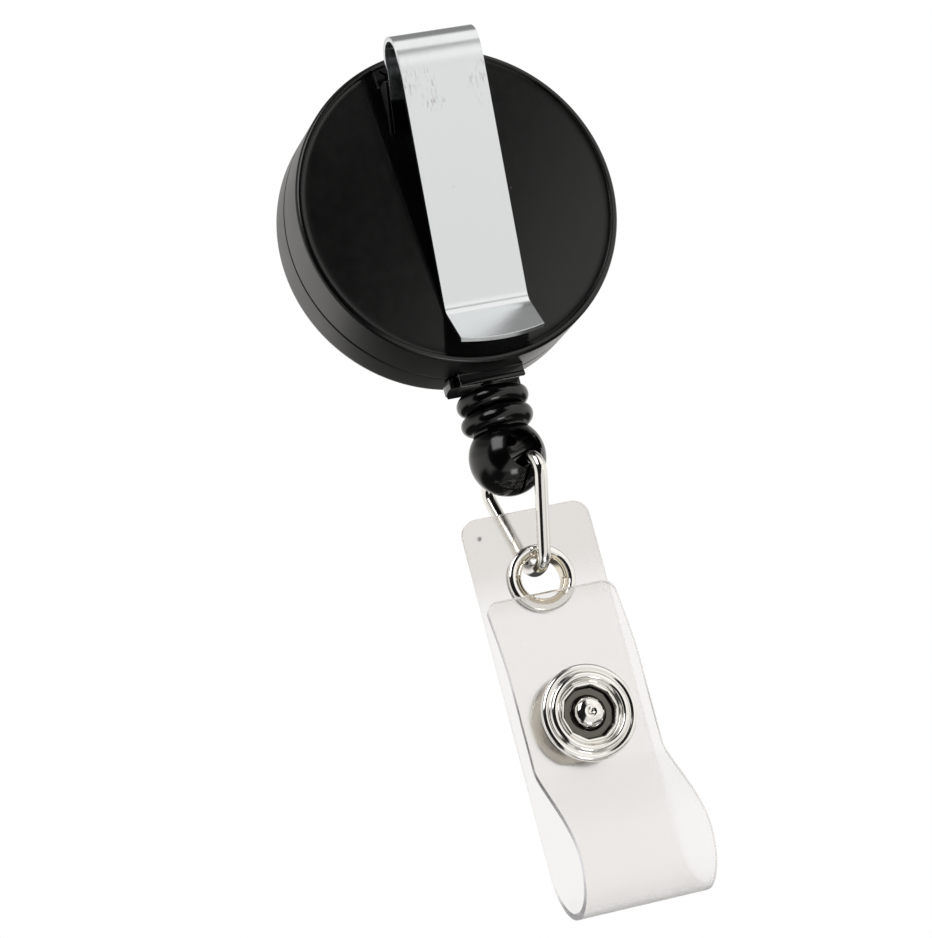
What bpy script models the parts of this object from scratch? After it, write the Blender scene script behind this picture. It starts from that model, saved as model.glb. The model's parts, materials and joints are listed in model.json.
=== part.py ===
"""Retractable badge reel: a round case with a belt clip, a sprung cord reel and a snap strap.

Metres, +Z up. The reel hangs by its clip: the origin is the belt edge, the inside of the
clip's bend. The clip and the back of the case face -Y, the label side faces +Y.
Each moving piece hangs under an empty that stands on its joint's axis.
"""

import math

import bmesh
import bpy

# --- driving dimensions -------------------------------------------------------------------
ASSEMBLY_GAP = 0.0001  # clearance between pieces that are fixed to each other
RUNNING_GAP = 0.00008  # radial clearance of a piece that turns on another
OVERCUT = 0.0005  # how far a cutter runs past what it cuts
ROUND_STEPS = 56
INNER_STEPS = 36
SMALL_STEPS = 24

# Case: depths are measured backwards (+Y) from the rim of the clip side.
RIM_Y = 0.0039  # from the belt edge to the case's rim plane
AXIS_Z = -0.0158  # from the belt edge down to the case's axis
CASE_RADIUS = 0.0160
CASE_DEPTH = 0.0104
SEAM_DEPTH = 0.0054
WALL = 0.0011
RIM_ROUND = 0.0004
LABEL_ROUND = 0.00155
DISH_DEPTH = 0.00035
DISH_RADIUS = 0.01535
LABEL_RADIUS = 0.0127
LABEL_DEPTH = 0.00025
LABEL_WALL = 0.00095
LAP = 0.0006  # height of the lap joint at the seam
INNER_RADIUS = 0.0149
SEAM_CHAMFER = 0.00012
INSIDE_CORNER = 0.0006  # chamfer inside both shells
DISH_LIP_WIDTH = 0.00015
DISH_LIP_DROP = 0.00008

# Axle post and the bosses that hold it.
POST_RADIUS = 0.0015
BOSS_RADIUS = 0.0026
BOSS_HEIGHT = 0.0009
SOCKET_DEPTH = 0.0006
LABEL_SOCKET_DEPTH = 0.0004
POST_SLOT = 0.0004
POST_CHAMFER = 0.0001

# Spool: the cord groove is centred on the seam.
GROOVE_WIDTH = 0.0027
FLANGE = 0.0008
FLANGE_RADIUS = 0.0130
DRUM_RADIUS = 0.0095
DRUM_WALL = 0.0008
HUB_RADIUS = 0.0024
HUB_COLLAR = 0.0006
CORD_RADIUS = 0.0004
WOUND_RADIUS = 0.0120
COVER_THICKNESS = 0.0005
COVER_GAP = 0.0002
COVER_COLLAR = 0.0003
SPRING_THICKNESS = 0.00015
SPRING_TURNS = 9
SPRING_STEPS = 16  # points on each turn
SPRING_START = 0.0003  # from the post to the first turn
SPRING_END = 0.0002  # from the last turn to the drum's wall
SPRING_TAIL = (-0.0011, 0.0013)  # the inner end's reach through the post's slot
ANCHOR_RADIUS = 0.0103  # from the axis to the hole that the cord's inner end is tied through
ANCHOR_HOLE = 0.0005
ANCHOR_KNOT = 0.0007
LEAD_ANGLE = math.radians(24)  # where the cord leaves the winding
LEAD_PULL = 0.0042
LEAD_STRAIGHT = -0.0149  # the cord hangs straight below this height
LEAD_EASE = 0.0012

# Cord guide: a block held in a window of both shells.
GUIDE_HALF_WIDTH = 0.0033
GUIDE_HALF_DEPTH = 0.0020
GUIDE_TOP = -0.0133
GUIDE_BOTTOM = -0.0170
GUIDE_FLANGE_WIDTH = 0.0042
GUIDE_FLANGE_DEPTH = 0.0025
GUIDE_FLANGE_HEIGHT = 0.0009
GUIDE_FOOT_WIDTH = 0.0038
GUIDE_FOOT_DROP = 0.0004
GUIDE_BORE = 0.0007
GUIDE_MOUTH = 0.0020
GUIDE_TAPER = (0.0013, -0.0140)  # a radius and height on the bore's flare
GUIDE_THROAT = -0.0150
SADDLE_RADIUS = 0.0042  # the hollow under the block
SADDLE_DROP = 0.0038

# Clip: one strip of spring steel, here parted at the top of its bend.
STRIP = 0.00045
STRIP_WIDTH = 0.00845
BEND_RADIUS = 0.0020  # middle of the strip
BEND_HEIGHT = 0.0140  # above the case's axis
POCKET_HALF_WIDTH = 0.00485
POCKET_SIDE = 0.0005
POCKET_TOP = 0.0126
POCKET_MOUTH = 0.0109
POCKET_END = 0.0078
POCKET_RISE = 0.0019
POCKET_ROOT = 0.0004  # how far the pocket's block reaches into the dish
POCKET_COVER = 0.00055
POCKET_FLOOR = 0.0006  # from the pocket's end to the slot's floor
CLIP_PART_DEG = 8  # half of the angle left open at the top, room for the arm to swing
CLIP_FOOT = 0.0009  # from the pocket's end to the inner leg's end
CLIP_LEAVE = 0.0116  # the inner leg bends away above this height
CLIP_SHOULDER = (-0.0056, 0.0120)  # (depth, height) of the arm's middle line
CLIP_TOUCH = (-0.0003, -0.0096)
LIP_END = (-0.0033, -0.01495)
LIP_BOTTOM = -0.0149
LIP_RADIUS = 0.022  # of the lip's arc-shaped end

# Stopper: two ribs and a ball, turned a little on the cord.
STOPPER_TOP = -0.01715
STOPPER_TURN = math.radians(16)
RIB_HEIGHTS = (-0.0185, -0.0205)
RIB_RADIUS = 0.0036
RIB_THICKNESS = 0.0010
NECK_RADIUS = 0.0024
STEM_RADIUS = 0.0012
BALL_HEIGHT = -0.0243
BALL_RADIUS = 0.00375
CROSS_HOLE = 0.0017
CROSS_STRAIGHT = 0.0029  # half of the hole's length before it flares
CROSS_FLARE = 0.0022
CROSS_REACH = 0.0050
CORD_BORE = 0.00055
KNOT_POCKET = 0.00125
KNOT_HEIGHT = -0.0206
KNOT_RADIUS = 0.00105
KNOT_CLEARANCE = 0.0002

# Wire link, in its own plane: across along the cross hole, and up.
WIRE_RADIUS = 0.00065
LINK_TOP = -0.02525
LINK_BOTTOM = -0.0356
LINK_HALF_WIDTH = 0.00475
LINK_TOP_CORNER = 0.0016
LINK_TIP_RADIUS = 0.0020

# Strap: one folded strip of clear vinyl, here parted at the start of its fold.
VINYL = 0.0006
VINYL_GAP = 0.00008  # between the vinyl and the metal pieces on it
STRAP_HALF_WIDTH = 0.0065
STRAP_CORNER = 0.0016
STRAP_TOP = -0.0297
FLAP_TOP = -0.0382
FLAP_CORNER = 0.0012
STRAP_DEPTH = 0.0054  # the back layer hangs in the seam's plane
FLAP_DEPTH = 0.0024  # where the closed snap holds the flap
FLAP_TOP_DEPTH = 0.0039
FLAP_FLAT = (-0.0549, -0.0460)  # heights between which the flap is flat, round the snap
FOLD_RADIUS = 0.00485
FOLD_HEIGHT = -0.06415
FOLD_SPLIT = math.radians(33)
FOLD_GAP = 0.00054
SNAP_HEIGHT = -0.0506
EYELET_HEIGHT = -0.0366
EYELET_RADIUS = 0.0034
EYELET_HOLE = 0.0020
EYELET_BARREL = 0.0023
EYELET_ROLL = 0.00045
POST_HOLE = 0.0013

FOLD_DEPTH = STRAP_DEPTH - FOLD_RADIUS


# --- scene --------------------------------------------------------------------------------
def clear_scene():
    for obj in list(bpy.data.objects):
        bpy.data.objects.remove(obj, do_unlink=True)


def new_collection(name):
    collection = bpy.data.collections.new(name)
    bpy.context.scene.collection.children.link(collection)
    return collection


clear_scene()
PARTS = new_collection("retractable_badge_reel")
CUTTERS = new_collection("cutters")


def material(name, colour, roughness, metallic=0.0, transmission=0.0):
    made = bpy.data.materials.new(name)
    made.use_nodes = True
    shader = made.node_tree.nodes["Principled BSDF"]
    shader.inputs["Base Color"].default_value = (*colour, 1.0)
    shader.inputs["Roughness"].default_value = roughness
    shader.inputs["Metallic"].default_value = metallic
    shader.inputs["Transmission Weight"].default_value = transmission
    return made


BLACK_PLASTIC = (0.012, 0.012, 0.013)
NICKEL = (0.72, 0.71, 0.69)
SPRING_STEEL = (0.55, 0.56, 0.58)
NATURAL_PLASTIC = (0.75, 0.74, 0.70)
BLACK_CORD = (0.02, 0.02, 0.02)
CLEAR_VINYL = (0.86, 0.87, 0.88)


def empty_at(name, depth, height, turn=0.0):
    """An empty on a joint's axis, at a depth behind the rim and a height above the case's axis."""
    empty = bpy.data.objects.new(name, None)
    empty.empty_display_size = 0.003
    PARTS.objects.link(empty)
    empty.location = (0.0, RIM_Y + depth, AXIS_Z + height)
    empty.rotation_euler.z = turn
    return empty


def finish(obj, name, surface, parent, sharp_deg=35):
    """Names a piece, dresses it and hangs it under its empty."""
    obj.name = name
    obj.data.name = name
    obj.data.materials.clear()
    obj.data.materials.append(surface)
    obj.parent = parent
    for modifier in obj.modifiers:
        if modifier.type == "BOOLEAN" and modifier.object.parent is None:
            modifier.object.parent = parent
    if obj.type == "MESH":
        obj.data.shade_smooth()
        obj.data.set_sharp_from_angle(angle=math.radians(sharp_deg))
    return obj


def as_cutter(obj):
    """Moves a helper to the cutters' collection, out of the render."""
    for collection in list(obj.users_collection):
        collection.objects.unlink(obj)
    CUTTERS.objects.link(obj)
    obj.hide_render = True
    obj.display_type = "WIRE"
    return obj


def boolean(obj, other, operation):
    modifier = obj.modifiers.new(operation.lower(), "BOOLEAN")
    modifier.operation = operation
    modifier.solver = "EXACT"
    modifier.object = as_cutter(other)
    return obj


def mesh_object(name, mesh):
    obj = bpy.data.objects.new(name, mesh)
    PARTS.objects.link(obj)
    return obj


def solid_mesh(obj):
    """The evaluated shape of an object as a plain mesh object with its caps welded."""
    bpy.context.view_layer.update()
    graph = bpy.context.evaluated_depsgraph_get()
    mesh = bpy.data.meshes.new_from_object(obj.evaluated_get(graph))
    form = bmesh.new()
    form.from_mesh(mesh)
    bmesh.ops.remove_doubles(form, verts=form.verts, dist=1e-7)
    bmesh.ops.recalc_face_normals(form, faces=form.faces)
    form.to_mesh(mesh)
    form.free()
    made = mesh_object(obj.name + "_solid", mesh)
    made.matrix_world = obj.matrix_world.copy()
    bpy.data.objects.remove(obj, do_unlink=True)
    return made


# --- shapes -------------------------------------------------------------------------------
def arc(centre, radius, start_deg, end_deg, count):
    """Points on an arc in a plane, from start to end inclusive."""
    points = []
    for step in range(count + 1):
        angle = math.radians(start_deg + (end_deg - start_deg) * step / count)
        points.append(
            (centre[0] + radius * math.cos(angle), centre[1] + radius * math.sin(angle))
        )
    return points


def bezier(start, handle_a, handle_b, end, count):
    """Points on a cubic curve, from start to end inclusive."""
    points = []
    for step in range(count + 1):
        t = step / count
        s = 1 - t
        weights = (s**3, 3 * s * s * t, 3 * s * t * t, t**3)
        corners = (start, handle_a, handle_b, end)
        points.append(
            tuple(sum(w * c[axis] for w, c in zip(weights, corners)) for axis in (0, 1))
        )
    return points


def turned(profile, steps=ROUND_STEPS, closed=True, along_y=True):
    """A turned piece. The profile is (radius, level); along_y turns it about the depth axis."""
    form = bmesh.new()
    verts = [form.verts.new((radius, 0.0, level)) for radius, level in profile]
    for first, second in zip(verts, verts[1:]):
        form.edges.new((first, second))
    if closed:
        form.edges.new((verts[-1], verts[0]))
    mesh = bpy.data.meshes.new("turned")
    form.to_mesh(mesh)
    form.free()
    obj = mesh_object("turned", mesh)
    screw = obj.modifiers.new("turn", "SCREW")
    screw.axis = "Z"
    screw.steps = steps
    screw.render_steps = steps
    screw.use_merge_vertices = True
    screw.merge_threshold = 0.000001
    if along_y:
        obj.rotation_euler.x = -math.pi / 2
    return obj


def plate(outline, half_thickness):
    """A flat outline (x, height) thickened along the depth axis."""
    curve = bpy.data.curves.new("plate", "CURVE")
    curve.dimensions = "2D"
    curve.fill_mode = "BOTH"
    curve.extrude = half_thickness
    line = curve.splines.new("POLY")
    line.points.add(len(outline) - 1)
    for point, (x, height) in zip(line.points, outline):
        point.co = (x, height, 0.0, 1.0)
    line.use_cyclic_u = True
    obj = bpy.data.objects.new("plate", curve)
    PARTS.objects.link(obj)
    obj.rotation_euler.x = math.pi / 2
    return obj


def strip_along_x(route, half_width, thickness):
    """A strip whose middle line (depth, height) runs across X."""
    curve = bpy.data.curves.new("strip", "CURVE")
    curve.dimensions = "2D"
    curve.fill_mode = "NONE"
    curve.extrude = half_width
    line = curve.splines.new("POLY")
    line.points.add(len(route) - 1)
    for point, (depth, height) in zip(line.points, route):
        point.co = (depth, height, 0.0, 1.0)
    obj = bpy.data.objects.new("strip", curve)
    PARTS.objects.link(obj)
    obj.rotation_euler = (math.pi / 2, 0.0, math.pi / 2)
    thick = obj.modifiers.new("thickness", "SOLIDIFY")
    thick.thickness = thickness
    thick.offset = 0.0
    thick.use_even_offset = True
    return solid_mesh(obj)


def wire(route, radius, closed=False):
    """A round wire or cord through points (x, depth, height)."""
    curve = bpy.data.curves.new("wire", "CURVE")
    curve.dimensions = "3D"
    curve.bevel_depth = radius
    curve.bevel_resolution = 2
    curve.use_fill_caps = True
    line = curve.splines.new("POLY")
    line.points.add(len(route) - 1)
    for point, place in zip(line.points, route):
        point.co = (*place, 1.0)
    line.use_cyclic_u = closed
    obj = bpy.data.objects.new("wire", curve)
    PARTS.objects.link(obj)
    return obj


def box(x, depth, height):
    """A box between two bounds along each axis."""
    form = bmesh.new()
    bmesh.ops.create_cube(form, size=1.0)
    for vert in form.verts:
        for axis, (low, high) in enumerate((x, depth, height)):
            vert.co[axis] = low if vert.co[axis] < 0 else high
    mesh = bpy.data.meshes.new("box")
    form.to_mesh(mesh)
    form.free()
    return mesh_object("box", mesh)


def cylinder(radius, half_length, depth, height, steps=SMALL_STEPS, along="Y"):
    """A cylinder centred at x = 0, at a depth and a height, along Y or X."""
    form = bmesh.new()
    bmesh.ops.create_cone(
        form,
        cap_ends=True,
        segments=steps,
        radius1=radius,
        radius2=radius,
        depth=2 * half_length,
    )
    mesh = bpy.data.meshes.new("cylinder")
    form.to_mesh(mesh)
    form.free()
    obj = mesh_object("cylinder", mesh)
    obj.location = (0.0, depth, height)
    if along == "Y":
        obj.rotation_euler.x = math.pi / 2
    else:
        obj.rotation_euler.y = math.pi / 2
    return obj


def wedge(half_width, profile):
    """A solid across X with a (depth, height) outline."""
    form = bmesh.new()
    base = [
        form.verts.new((-half_width, depth, height)) for depth, height in profile
    ]
    face = form.faces.new(base)
    swept = bmesh.ops.extrude_face_region(form, geom=[face])["geom"]
    moved = [item for item in swept if isinstance(item, bmesh.types.BMVert)]
    bmesh.ops.translate(form, verts=moved, vec=(2 * half_width, 0.0, 0.0))
    bmesh.ops.recalc_face_normals(form, faces=form.faces)
    mesh = bpy.data.meshes.new("wedge")
    form.to_mesh(mesh)
    form.free()
    return mesh_object("wedge", mesh)


def rounded_top_outline(half_width, top, bottom, corner):
    """A rectangle (x, height) with its two upper corners rounded."""
    right = arc((half_width - corner, top - corner), corner, 0, 90, 5)
    left = arc((corner - half_width, top - corner), corner, 90, 180, 5)
    return [(half_width, bottom), *right, *left, (-half_width, bottom)]


# --- joint frames -------------------------------------------------------------------------
CASE = empty_at("case_axis", 0.0, 0.0)
SPOOL_AXIS = empty_at("spool_axis", 0.0, 0.0)
CLIP_AXIS = empty_at("clip_bend_axis", -RIM_Y, BEND_HEIGHT)
CORD_END = empty_at("cord_end", STRAP_DEPTH, KNOT_HEIGHT)
SWIVEL = empty_at("stopper_swivel", STRAP_DEPTH, BALL_HEIGHT, turn=STOPPER_TURN)
LINK_AXIS = empty_at("link_axis", STRAP_DEPTH, LINK_TOP, turn=STOPPER_TURN)
STRAP_AXIS = empty_at("strap_axis", STRAP_DEPTH, LINK_BOTTOM)
FOLD_AXIS = empty_at(
    "fold_axis",
    FOLD_DEPTH + FOLD_RADIUS * math.cos(FOLD_SPLIT),
    FOLD_HEIGHT - FOLD_RADIUS * math.sin(FOLD_SPLIT),
)


def to_joint(obj, frame):
    """Rehangs a piece, and what cuts it, from the case's frame to its joint's empty."""
    bpy.context.view_layer.update()
    for piece in [obj, *[m.object for m in obj.modifiers if m.type == "BOOLEAN"]]:
        place = piece.matrix_world.copy()
        piece.parent = frame
        piece.matrix_parent_inverse = frame.matrix_world.inverted()
        piece.matrix_world = place
    return obj


# --- case ---------------------------------------------------------------------------------
def pocket_surface(height):
    """Depth of the pocket's sloping front at a height."""
    slope = (POCKET_RISE + DISH_DEPTH) / (POCKET_TOP - POCKET_END)
    return DISH_DEPTH - (height - POCKET_END) * slope


def build_back_shell(surface):
    """The clip side: dished face, rounded rim, lap joint, axle boss and the clip's pocket."""
    floor = DISH_DEPTH + WALL
    seam = SEAM_DEPTH - ASSEMBLY_GAP / 2
    lap_radius = (CASE_RADIUS + INNER_RADIUS) / 2
    socket = POST_RADIUS + ASSEMBLY_GAP
    rim = arc((CASE_RADIUS - RIM_ROUND, RIM_ROUND), RIM_ROUND, 0, -90, 6)
    shell = turned(
        [
            (0.0, floor - SOCKET_DEPTH),
            (socket, floor - SOCKET_DEPTH),
            (socket, floor + BOSS_HEIGHT),
            (BOSS_RADIUS, floor + BOSS_HEIGHT),
            (BOSS_RADIUS, floor),
            (INNER_RADIUS - INSIDE_CORNER, floor),
            (INNER_RADIUS, floor + INSIDE_CORNER),
            (INNER_RADIUS, seam + LAP),
            (lap_radius, seam + LAP),
            (lap_radius, seam),
            (CASE_RADIUS - SEAM_CHAMFER, seam),
            (CASE_RADIUS, seam - SEAM_CHAMFER),
            *rim,
            (DISH_RADIUS + DISH_LIP_WIDTH, DISH_LIP_DROP),
            (DISH_RADIUS, DISH_DEPTH),
            (0.0, DISH_DEPTH),
        ],
        closed=False,
    )
    pocket = wedge(
        POCKET_HALF_WIDTH,
        [
            (DISH_DEPTH + POCKET_ROOT, POCKET_END - POCKET_ROOT),
            (DISH_DEPTH, POCKET_END),
            (-POCKET_RISE, POCKET_TOP),
            (DISH_DEPTH + POCKET_ROOT, POCKET_TOP),
        ],
    )
    shell = boolean(shell, pocket, "UNION")
    half_slot = POCKET_HALF_WIDTH - POCKET_SIDE
    back = POCKET_COVER + STRIP + 2 * ASSEMBLY_GAP
    low = POCKET_END + POCKET_FLOOR
    high = POCKET_TOP + 2 * OVERCUT
    slot = wedge(
        half_slot,
        [
            (pocket_surface(low) + POCKET_COVER, low),
            (pocket_surface(low) + back, low),
            (pocket_surface(high) + back, high),
            (pocket_surface(high) + POCKET_COVER, high),
        ],
    )
    shell = boolean(shell, slot, "DIFFERENCE")
    behind = POCKET_COVER + ASSEMBLY_GAP
    mouth = wedge(
        half_slot,
        [
            (pocket_surface(POCKET_MOUTH) - 2 * OVERCUT, POCKET_MOUTH),
            (pocket_surface(POCKET_MOUTH) + behind, POCKET_MOUTH),
            (pocket_surface(high) + behind, high),
            (pocket_surface(high) - 2 * OVERCUT, high),
        ],
    )
    shell = boolean(shell, mouth, "DIFFERENCE")
    shell = boolean(shell, guide_window(), "DIFFERENCE")
    return finish(shell, "back_shell", surface, CASE)


def build_front_shell(surface):
    """The label side: a shallow round recess, a rounded edge and the axle's second boss."""
    floor = CASE_DEPTH - LABEL_DEPTH - LABEL_WALL
    seam = SEAM_DEPTH + ASSEMBLY_GAP / 2
    lap_radius = (CASE_RADIUS + INNER_RADIUS) / 2 + ASSEMBLY_GAP
    socket = POST_RADIUS + ASSEMBLY_GAP
    edge = arc(
        (CASE_RADIUS - LABEL_ROUND, CASE_DEPTH - LABEL_ROUND), LABEL_ROUND, 90, 0, 6
    )
    shell = turned(
        [
            (0.0, CASE_DEPTH - LABEL_DEPTH),
            (LABEL_RADIUS, CASE_DEPTH - LABEL_DEPTH),
            (LABEL_RADIUS + 0.0001, CASE_DEPTH),
            *edge,
            (CASE_RADIUS, seam + SEAM_CHAMFER),
            (CASE_RADIUS - SEAM_CHAMFER, seam),
            (lap_radius, seam),
            (lap_radius, seam + LAP + ASSEMBLY_GAP),
            (INNER_RADIUS, seam + LAP + ASSEMBLY_GAP),
            (INNER_RADIUS, floor - INSIDE_CORNER),
            (INNER_RADIUS - INSIDE_CORNER, floor),
            (BOSS_RADIUS, floor),
            (BOSS_RADIUS, floor - BOSS_HEIGHT),
            (socket, floor - BOSS_HEIGHT),
            (socket, floor + LABEL_SOCKET_DEPTH),
            (0.0, floor + LABEL_SOCKET_DEPTH),
        ],
        closed=False,
    )
    shell = boolean(shell, guide_window(), "DIFFERENCE")
    return finish(shell, "front_shell", surface, CASE)


def guide_window():
    """The window that the cord guide fills, cut from both shells."""
    half = GUIDE_HALF_WIDTH + ASSEMBLY_GAP
    reach = GUIDE_HALF_DEPTH + ASSEMBLY_GAP
    window = box(
        (-half, half),
        (SEAM_DEPTH - reach, SEAM_DEPTH + reach),
        (-CASE_RADIUS - 2 * OVERCUT, GUIDE_TOP),
    )
    return window


def build_cord_guide(surface):
    """A block with an inner flange, a wider foot on the label side and a flared bore."""
    block = box(
        (-GUIDE_HALF_WIDTH, GUIDE_HALF_WIDTH),
        (SEAM_DEPTH - GUIDE_HALF_DEPTH, SEAM_DEPTH + GUIDE_HALF_DEPTH),
        (GUIDE_BOTTOM, GUIDE_TOP - ASSEMBLY_GAP),
    )
    flange = box(
        (-GUIDE_FLANGE_WIDTH, GUIDE_FLANGE_WIDTH),
        (SEAM_DEPTH - GUIDE_FLANGE_DEPTH, SEAM_DEPTH + GUIDE_FLANGE_DEPTH),
        (GUIDE_TOP - GUIDE_FLANGE_HEIGHT, GUIDE_TOP),
    )
    foot = box(
        (-GUIDE_FOOT_WIDTH, GUIDE_FOOT_WIDTH),
        (SEAM_DEPTH + STEM_RADIUS + ASSEMBLY_GAP, SEAM_DEPTH + GUIDE_HALF_DEPTH - ASSEMBLY_GAP),
        (GUIDE_BOTTOM - GUIDE_FOOT_DROP, -CASE_RADIUS - ASSEMBLY_GAP),
    )
    block = boolean(block, flange, "UNION")
    hollow = GUIDE_BOTTOM - SADDLE_DROP
    saddle = cylinder(SADDLE_RADIUS, 2 * GUIDE_HALF_WIDTH, SEAM_DEPTH, hollow, along="X")
    block = boolean(block, saddle, "DIFFERENCE")
    block = boolean(block, foot, "UNION")
    bore = turned(
        [
            (0.0, GUIDE_TOP + OVERCUT),
            (GUIDE_MOUTH + OVERCUT, GUIDE_TOP + OVERCUT),
            (GUIDE_MOUTH, GUIDE_TOP),
            GUIDE_TAPER,
            (GUIDE_BORE, GUIDE_THROAT),
            (GUIDE_BORE, GUIDE_BOTTOM - 2 * OVERCUT),
            (0.0, GUIDE_BOTTOM - 2 * OVERCUT),
        ],
        steps=SMALL_STEPS,
        closed=False,
        along_y=False,
    )
    bore.location = (0.0, SEAM_DEPTH, 0.0)
    block = boolean(block, bore, "DIFFERENCE")
    return finish(block, "cord_guide", surface, CASE)


def build_axle_post(surface):
    """A round post between the two bosses, slotted for the spring's inner end."""
    low = DISH_DEPTH + WALL - SOCKET_DEPTH + ASSEMBLY_GAP
    high = CASE_DEPTH - LABEL_DEPTH - LABEL_WALL + LABEL_SOCKET_DEPTH - ASSEMBLY_GAP
    post = turned(
        [
            (0.0, high),
            (POST_RADIUS - POST_CHAMFER, high),
            (POST_RADIUS, high - POST_CHAMFER),
            (POST_RADIUS, low + POST_CHAMFER),
            (POST_RADIUS - POST_CHAMFER, low),
            (0.0, low),
        ],
        steps=SMALL_STEPS,
        closed=False,
    )
    slot = box(
        (-POST_RADIUS - OVERCUT, POST_RADIUS + OVERCUT),
        (spring_low() - ASSEMBLY_GAP, CASE_DEPTH),
        (-POST_SLOT / 2, POST_SLOT / 2),
    )
    return finish(boolean(post, slot, "DIFFERENCE"), "axle_post", surface, CASE)


# --- spool --------------------------------------------------------------------------------
def groove_low():
    return SEAM_DEPTH - GROOVE_WIDTH / 2


def groove_high():
    return SEAM_DEPTH + GROOVE_WIDTH / 2


def spring_low():
    return groove_low() + COVER_GAP


def spring_high():
    return groove_high() - ASSEMBLY_GAP


def build_spool(surface):
    """Drum, two flanges and a web that runs on the post; the drum's far mouth is open."""
    bore = POST_RADIUS + RUNNING_GAP
    drum_inside = DRUM_RADIUS - DRUM_WALL
    near = groove_low() - FLANGE
    far = groove_high() + FLANGE
    spool = turned(
        [
            (drum_inside, far),
            (FLANGE_RADIUS, far),
            (FLANGE_RADIUS, groove_high()),
            (DRUM_RADIUS, groove_high()),
            (DRUM_RADIUS, groove_low()),
            (FLANGE_RADIUS, groove_low()),
            (FLANGE_RADIUS, near),
            (HUB_RADIUS, near),
            (HUB_RADIUS, near - HUB_COLLAR),
            (bore, near - HUB_COLLAR),
            (bore, groove_low()),
            (drum_inside, groove_low()),
        ],
        steps=INNER_STEPS,
    )
    hole = cylinder(ANCHOR_HOLE, FLANGE, groove_low() - FLANGE / 2, -ANCHOR_RADIUS, steps=16)
    spool = boolean(spool, hole, "DIFFERENCE")
    return finish(spool, "spool", surface, SPOOL_AXIS)


def build_spring_cover(surface):
    """The disc that closes the drum over the spring."""
    low = groove_high() + COVER_GAP
    high = low + COVER_THICKNESS
    rim = DRUM_RADIUS - DRUM_WALL - ASSEMBLY_GAP
    bore = POST_RADIUS + RUNNING_GAP
    cover = turned(
        [
            (bore, high + COVER_COLLAR),
            (HUB_RADIUS, high + COVER_COLLAR),
            (HUB_RADIUS, high),
            (rim, high),
            (rim, low),
            (bore, low),
        ],
        steps=INNER_STEPS,
    )
    return finish(cover, "spring_cover", surface, SPOOL_AXIS)


def build_power_spring(surface):
    """A flat spiral from the post's slot out to the drum's wall."""
    inner = POST_RADIUS + SPRING_START
    outer = DRUM_RADIUS - DRUM_WALL - SPRING_END
    total = SPRING_TURNS * SPRING_STEPS
    route = [(reach, 0.0) for reach in SPRING_TAIL]
    for step in range(total + 1):
        angle = 2 * math.pi * step / SPRING_STEPS
        radius = inner + (outer - inner) * step / total
        route.append((radius * math.cos(angle), radius * math.sin(angle)))
    curve = bpy.data.curves.new("spring", "CURVE")
    curve.dimensions = "2D"
    curve.fill_mode = "NONE"
    curve.extrude = (spring_high() - spring_low()) / 2
    line = curve.splines.new("POLY")
    line.points.add(len(route) - 1)
    for point, (x, y) in zip(line.points, route):
        point.co = (x, y, 0.0, 1.0)
    obj = bpy.data.objects.new("spring", curve)
    PARTS.objects.link(obj)
    obj.rotation_euler.x = math.pi / 2
    obj.location.y = (spring_high() + spring_low()) / 2
    thick = obj.modifiers.new("thickness", "SOLIDIFY")
    thick.thickness = SPRING_THICKNESS
    thick.offset = 0.0
    return finish(solid_mesh(obj), "power_spring", surface, SPOOL_AXIS)


def build_cord(surface):
    """The wound cord as one ring, its two knots, and the lead down to the stopper."""
    low = groove_low() + ASSEMBLY_GAP
    high = groove_high() - ASSEMBLY_GAP
    inner = DRUM_RADIUS + ASSEMBLY_GAP
    winding = turned(
        [(inner, high), (WOUND_RADIUS, high), (WOUND_RADIUS, low), (inner, low)],
        steps=INNER_STEPS,
    )
    finish(winding, "cord_winding", surface, SPOOL_AXIS)

    knot_depth = groove_low() - FLANGE - ANCHOR_KNOT - ASSEMBLY_GAP
    anchor = sphere(ANCHOR_KNOT, knot_depth, -ANCHOR_RADIUS)
    finish(anchor, "cord_anchor_knot", surface, SPOOL_AXIS)

    leave = WOUND_RADIUS + CORD_RADIUS + ASSEMBLY_GAP / 2
    start = (leave * math.sin(LEAD_ANGLE), -leave * math.cos(LEAD_ANGLE))
    handle = (
        start[0] - LEAD_PULL * math.cos(LEAD_ANGLE),
        start[1] - LEAD_PULL * math.sin(LEAD_ANGLE),
    )
    hang = (0.0, LEAD_STRAIGHT)
    route = bezier(start, handle, (0.0, LEAD_STRAIGHT + LEAD_EASE), hang, 14)
    bottom = KNOT_HEIGHT + KNOT_RADIUS + ASSEMBLY_GAP
    straight = 6
    for step in range(1, straight + 1):
        height = LEAD_STRAIGHT + (bottom - LEAD_STRAIGHT) * step / straight
        route.append((0.0, height))
    lead = wire([(x, SEAM_DEPTH, height) for x, height in route], CORD_RADIUS)
    finish(lead, "cord_lead", surface, CASE)

    knot = sphere(KNOT_RADIUS, 0.0, 0.0)
    finish(knot, "cord_end_knot", surface, CORD_END)


def sphere(radius, depth, height):
    """A ball at x = 0, at a depth and a height."""
    form = bmesh.new()
    bmesh.ops.create_uvsphere(form, u_segments=16, v_segments=8, radius=radius)
    mesh = bpy.data.meshes.new("sphere")
    form.to_mesh(mesh)
    form.free()
    obj = mesh_object("sphere", mesh)
    obj.location = (0.0, depth, height)
    return obj


# --- clip ---------------------------------------------------------------------------------
def pocket_line(height):
    """Depth of the strip's middle line in the pocket at a height."""
    return pocket_surface(height) + POCKET_COVER + ASSEMBLY_GAP + STRIP / 2


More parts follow.
